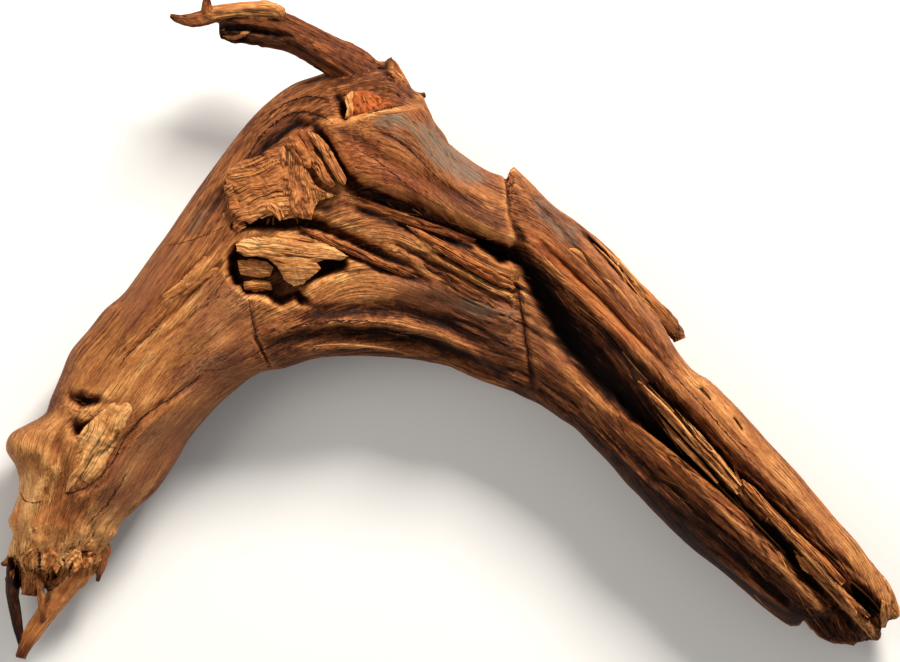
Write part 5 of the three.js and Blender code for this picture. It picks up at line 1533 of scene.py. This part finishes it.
# Dark pockets between the curls round the mouth, as painted shade in dark lines flush with the skin.
MOUTH_GAPS = [
    [[19, 274, 0.4], [20, 278, 1], [20.4, 282, 0.9], [19.6, 286, 0.4]],
    [[31.6, 279, 0.4], [33.2, 281, 1.2], [34.6, 283.6, 1], [35, 286, 0.4]],
    [[38, 276.4, 0.3], [40.2, 275.4, 0.9], [42.8, 275.6, 0.8], [45, 274.6, 0.3]],
]

# The rest are scattered along lines: [from, to, how many, spread, heading in degrees, length,
# half width].
SCATTERED = [
    [(184, 97), (250, 122), 10, 2.5, 22, 12, 0.4], [(264, 126), (335, 198), 12, 4, 46, 20, 0.45],
    [(335, 210), (424, 300), 20, 9, 46, 22, 0.5], [(310, 215), (395, 300), 12, 7, 45, 18, 0.5],
    [(6, 281), (24, 288), 34, 2.5, 95, 4, 1], [(24, 288), (50, 278), 40, 2.5, 105, 4, 1],
    [(12, 288), (24, 296), 16, 2.5, 95, 7, 0.5], [(434, 300), (446, 314), 12, 3, 48, 6, 0.6],
    [(446, 302), (440, 316), 10, 1, 40, 4, 0.8], [(112, 88), (119, 112), 16, 1.5, 100, 3, 0.9],
    [(124, 110), (154, 109), 10, 1, 90, 3, 0.6], [(300, 128), (334, 164), 14, 2, 48, 10, 0.4],
    [(108, 12), (112, 20), 10, 2, 185, 4, 0.9], [(186, 30), (214, 50), 10, 2, 40, 4, 0.8],
    [(196, 108), (256, 140), 10, 5, 24, 12, 0.45], [(174, 52), (182, 58), 12, 2, 10, 4, 0.6],
    [(36, 200), (48, 214), 16, 5, 20, 4, 0.8], [(10, 277), (50, 272), 40, 4, 110, 3, 0.8],
    [(150, 158), (236, 170), 8, 3, 5, 12, 0.4],
]


# A blade is left out where the skin falls by more than this in mm for each of its sections.
STEEPEST = 2
BLADE_WEAR = 0.6
CRACK_JITTER = 0.22


def lay_splinters():
    mesh = limb.data
    tree = BVHTree.FromPolygons([v.co for v in mesh.vertices], [p.vertices for p in mesh.polygons])
    points, faces, grain, pale = [], [], [], []

    def ground(x, y):
        hit = tree.ray_cast(Vector(((x - MIDDLE[0]) / 1000, (MIDDLE[1] - y) / 1000, 0.2)), Vector((0, 0, -1)))
        return hit[0].z * 1000 if hit[0] else None

    def lay(path, lift_tip, paleness, thickness=0.8, sunk=0.35):
        """One blade over the skin, four-sided, sunk at its root, with its tip lifted."""
        heights = [ground(x, y) for x, y, _ in path]
        if None in heights or max(heights) - min(heights) > STEEPEST * len(path):
            return
        start = len(points)
        for i, (x, y, half) in enumerate(path):
            ahead, behind = path[min(i + 1, len(path) - 1)], path[max(i - 1, 0)]
            run = np.array([ahead[0] - behind[0], ahead[1] - behind[1]])
            run /= np.linalg.norm(run)
            share = i / (len(path) - 1)
            chord = heights[0] + (heights[-1] - heights[0]) * share - 1
            bed = max(heights[i], chord) if sunk > 0 else heights[i]
            z = bed - sunk + 0.5 * smooth(4 * share) * sunk + lift_tip * share**2
            for aside, up in ((1, 0), (0, thickness), (-1, 0), (0, -thickness)):
                place = (x + run[1] * aside * half, y - run[0] * aside * half, z + up * half)
                points.append(((place[0] - MIDDLE[0]) / 1000, (MIDDLE[1] - place[1]) / 1000, place[2] / 1000))
                grain.append((start * 3.7 + 2 * i, aside * half, up * half))
                pale.append(paleness)
        for i in range(len(path) - 1):
            for k in range(4):
                a, b = start + 4 * i + k, start + 4 * i + (k + 1) % 4
                faces.append((a, b, b + 4, a + 4))
        last = start + 4 * (len(path) - 1)
        faces.append((start + 3, start + 2, start + 1, start))
        faces.append((last, last + 1, last + 2, last + 3))

    for rows in LONG_SPLINTERS:
        rows = np.array(rows, float)
        lay(along_rows(rows, np.linspace(0, len(rows) - 1, 24)), 0.4, 0.8)
    # Holes and cracks get a paleness of -1.5: painted shade, dark and flush with the skin.
    for rows in EXIT_HOLES:
        lay(along_rows(np.array(rows), np.linspace(0, 3, 13)), 0, -1.5, 0.15, -0.05)
    chance = np.random.default_rng(7)

    def open_crack(rows):
        line = along_rows(np.array(rows), np.linspace(0, len(rows) - 1, 16 * len(rows)))
        line[:, :2] += chance.normal(0, CRACK_JITTER, (len(line), 2))
        line[:, 2] *= chance.uniform(0.4, 1.4, len(line))
        # Painted shade: a dark line flush with the skin.
        lay(line, 0, -1.5, 0.15, -0.08)

    for rows in OPEN_CRACKS:
        open_crack(rows)
    for (x0, y0), (x1, y1), count, spread, heading, length, width in SCATTERED:
        for _ in range(count):
            share, aside = chance.random(), chance.normal(0, spread)
            turned = math.radians(heading + chance.normal(0, 9))
            long = length * chance.uniform(0.5, 1.3)
            bend = chance.normal(0, 0.01)
            half = width * chance.uniform(0.6, 1.2)
            line = math.atan2(y1 - y0, x1 - x0)
            x = x0 + (x1 - x0) * share - math.sin(line) * aside
            y = y0 + (y1 - y0) * share + math.cos(line) * aside
            path = []
            for step in range(9):
                path.append((x, y, half * (1 - (step / 8) ** 2) + 0.06))
                x += math.cos(turned) * long / 8
                y += math.sin(turned) * long / 8
                turned += bend * long / 8
            lay(path, chance.uniform(0, 0.15) * long**0.5, chance.uniform(0, 0.7))
    for rows in MOUTH_GAPS:
        open_crack(rows)
    blades = bpy.data.meshes.new("splinters")
    blades.from_pydata(points, [], faces)
    strands = blades.attributes.new("grain", "FLOAT_VECTOR", "POINT")
    strands.data.foreach_set("vector", np.array(grain).ravel())
    for tone, values in (("pale", pale), ("wear", [BLADE_WEAR] * len(points))):
        blades.attributes.new(tone, "FLOAT", "POINT").data.foreach_set("value", values)
    piece = bpy.data.objects.new("splinters", blades)
    bpy.context.collection.objects.link(piece)
    return piece


splinters = lay_splinters()
hold_in_box(splinters)
dress(splinters)


# The floor and the studio: a plain pale floor, one broad soft light from beyond the bend,
# and a weak one from the near side.
FLOOR_TONE = colour(236, 234, 230)
FLOOR_SIZE = 8.0

floor_mesh = bpy.data.meshes.new("floor")
half = FLOOR_SIZE / 2
corners = [(-half, -half, 0), (half, -half, 0), (half, half, 0), (-half, half, 0)]
floor_mesh.from_pydata(corners, [], [(0, 1, 2, 3)])
floor = bpy.data.objects.new("floor", floor_mesh)
bpy.context.collection.objects.link(floor)
floor_finish = Shader("pale_floor")
floor_finish.surface.inputs["Base Color"].default_value = FLOOR_TONE
floor_finish.surface.inputs["Roughness"].default_value = 0.9
floor.data.materials.append(floor_finish.material)


def soft_light(name, place, target, size, power):
    lamp = bpy.data.lights.new(name, "AREA")
    lamp.shape = "SQUARE"
    lamp.size = size
    lamp.energy = power
    lamp.color = (1, 0.96, 0.9)
    light = bpy.data.objects.new(name, lamp)
    light.location = place
    light.rotation_euler = (Vector(target) - Vector(place)).to_track_quat("-Z", "Y").to_euler()
    bpy.context.collection.objects.link(light)


soft_light("key_light", (0.55, 1.3, 1.0), (0, 0, 0.03), 0.5, 52)
soft_light("fill_light", (-1.2, 0.1, 1.3), (0, 0, 0.03), 0.9, 8)
world = bpy.data.worlds.new("studio")
world.use_nodes = True
world.node_tree.nodes["Background"].inputs["Color"].default_value = (1, 1, 1, 1)
world.node_tree.nodes["Background"].inputs["Strength"].default_value = 0.36
bpy.context.scene.world = world
bpy.context.scene.view_settings.view_transform = "Standard"

# The camera looks straight down from far off, as the photograph does.
PHOTO_WIDTH, PHOTO_HEIGHT = 900, 662
MM_PER_PIXEL = 0.5
OUTLINE_HEIGHT = 0.030
CAMERA_DISTANCE = 4.0

camera = bpy.data.cameras.new("camera")
camera.sensor_width = 36
camera.lens = 36 * CAMERA_DISTANCE / (PHOTO_WIDTH * MM_PER_PIXEL / 1000)
camera_stand = bpy.data.objects.new("camera", camera)
camera_stand.location = (
    (PHOTO_WIDTH / 2 * MM_PER_PIXEL - MIDDLE[0]) / 1000,
    (MIDDLE[1] - PHOTO_HEIGHT / 2 * MM_PER_PIXEL) / 1000,
    OUTLINE_HEIGHT + CAMERA_DISTANCE,
)
bpy.context.collection.objects.link(camera_stand)
bpy.context.scene.camera = camera_stand
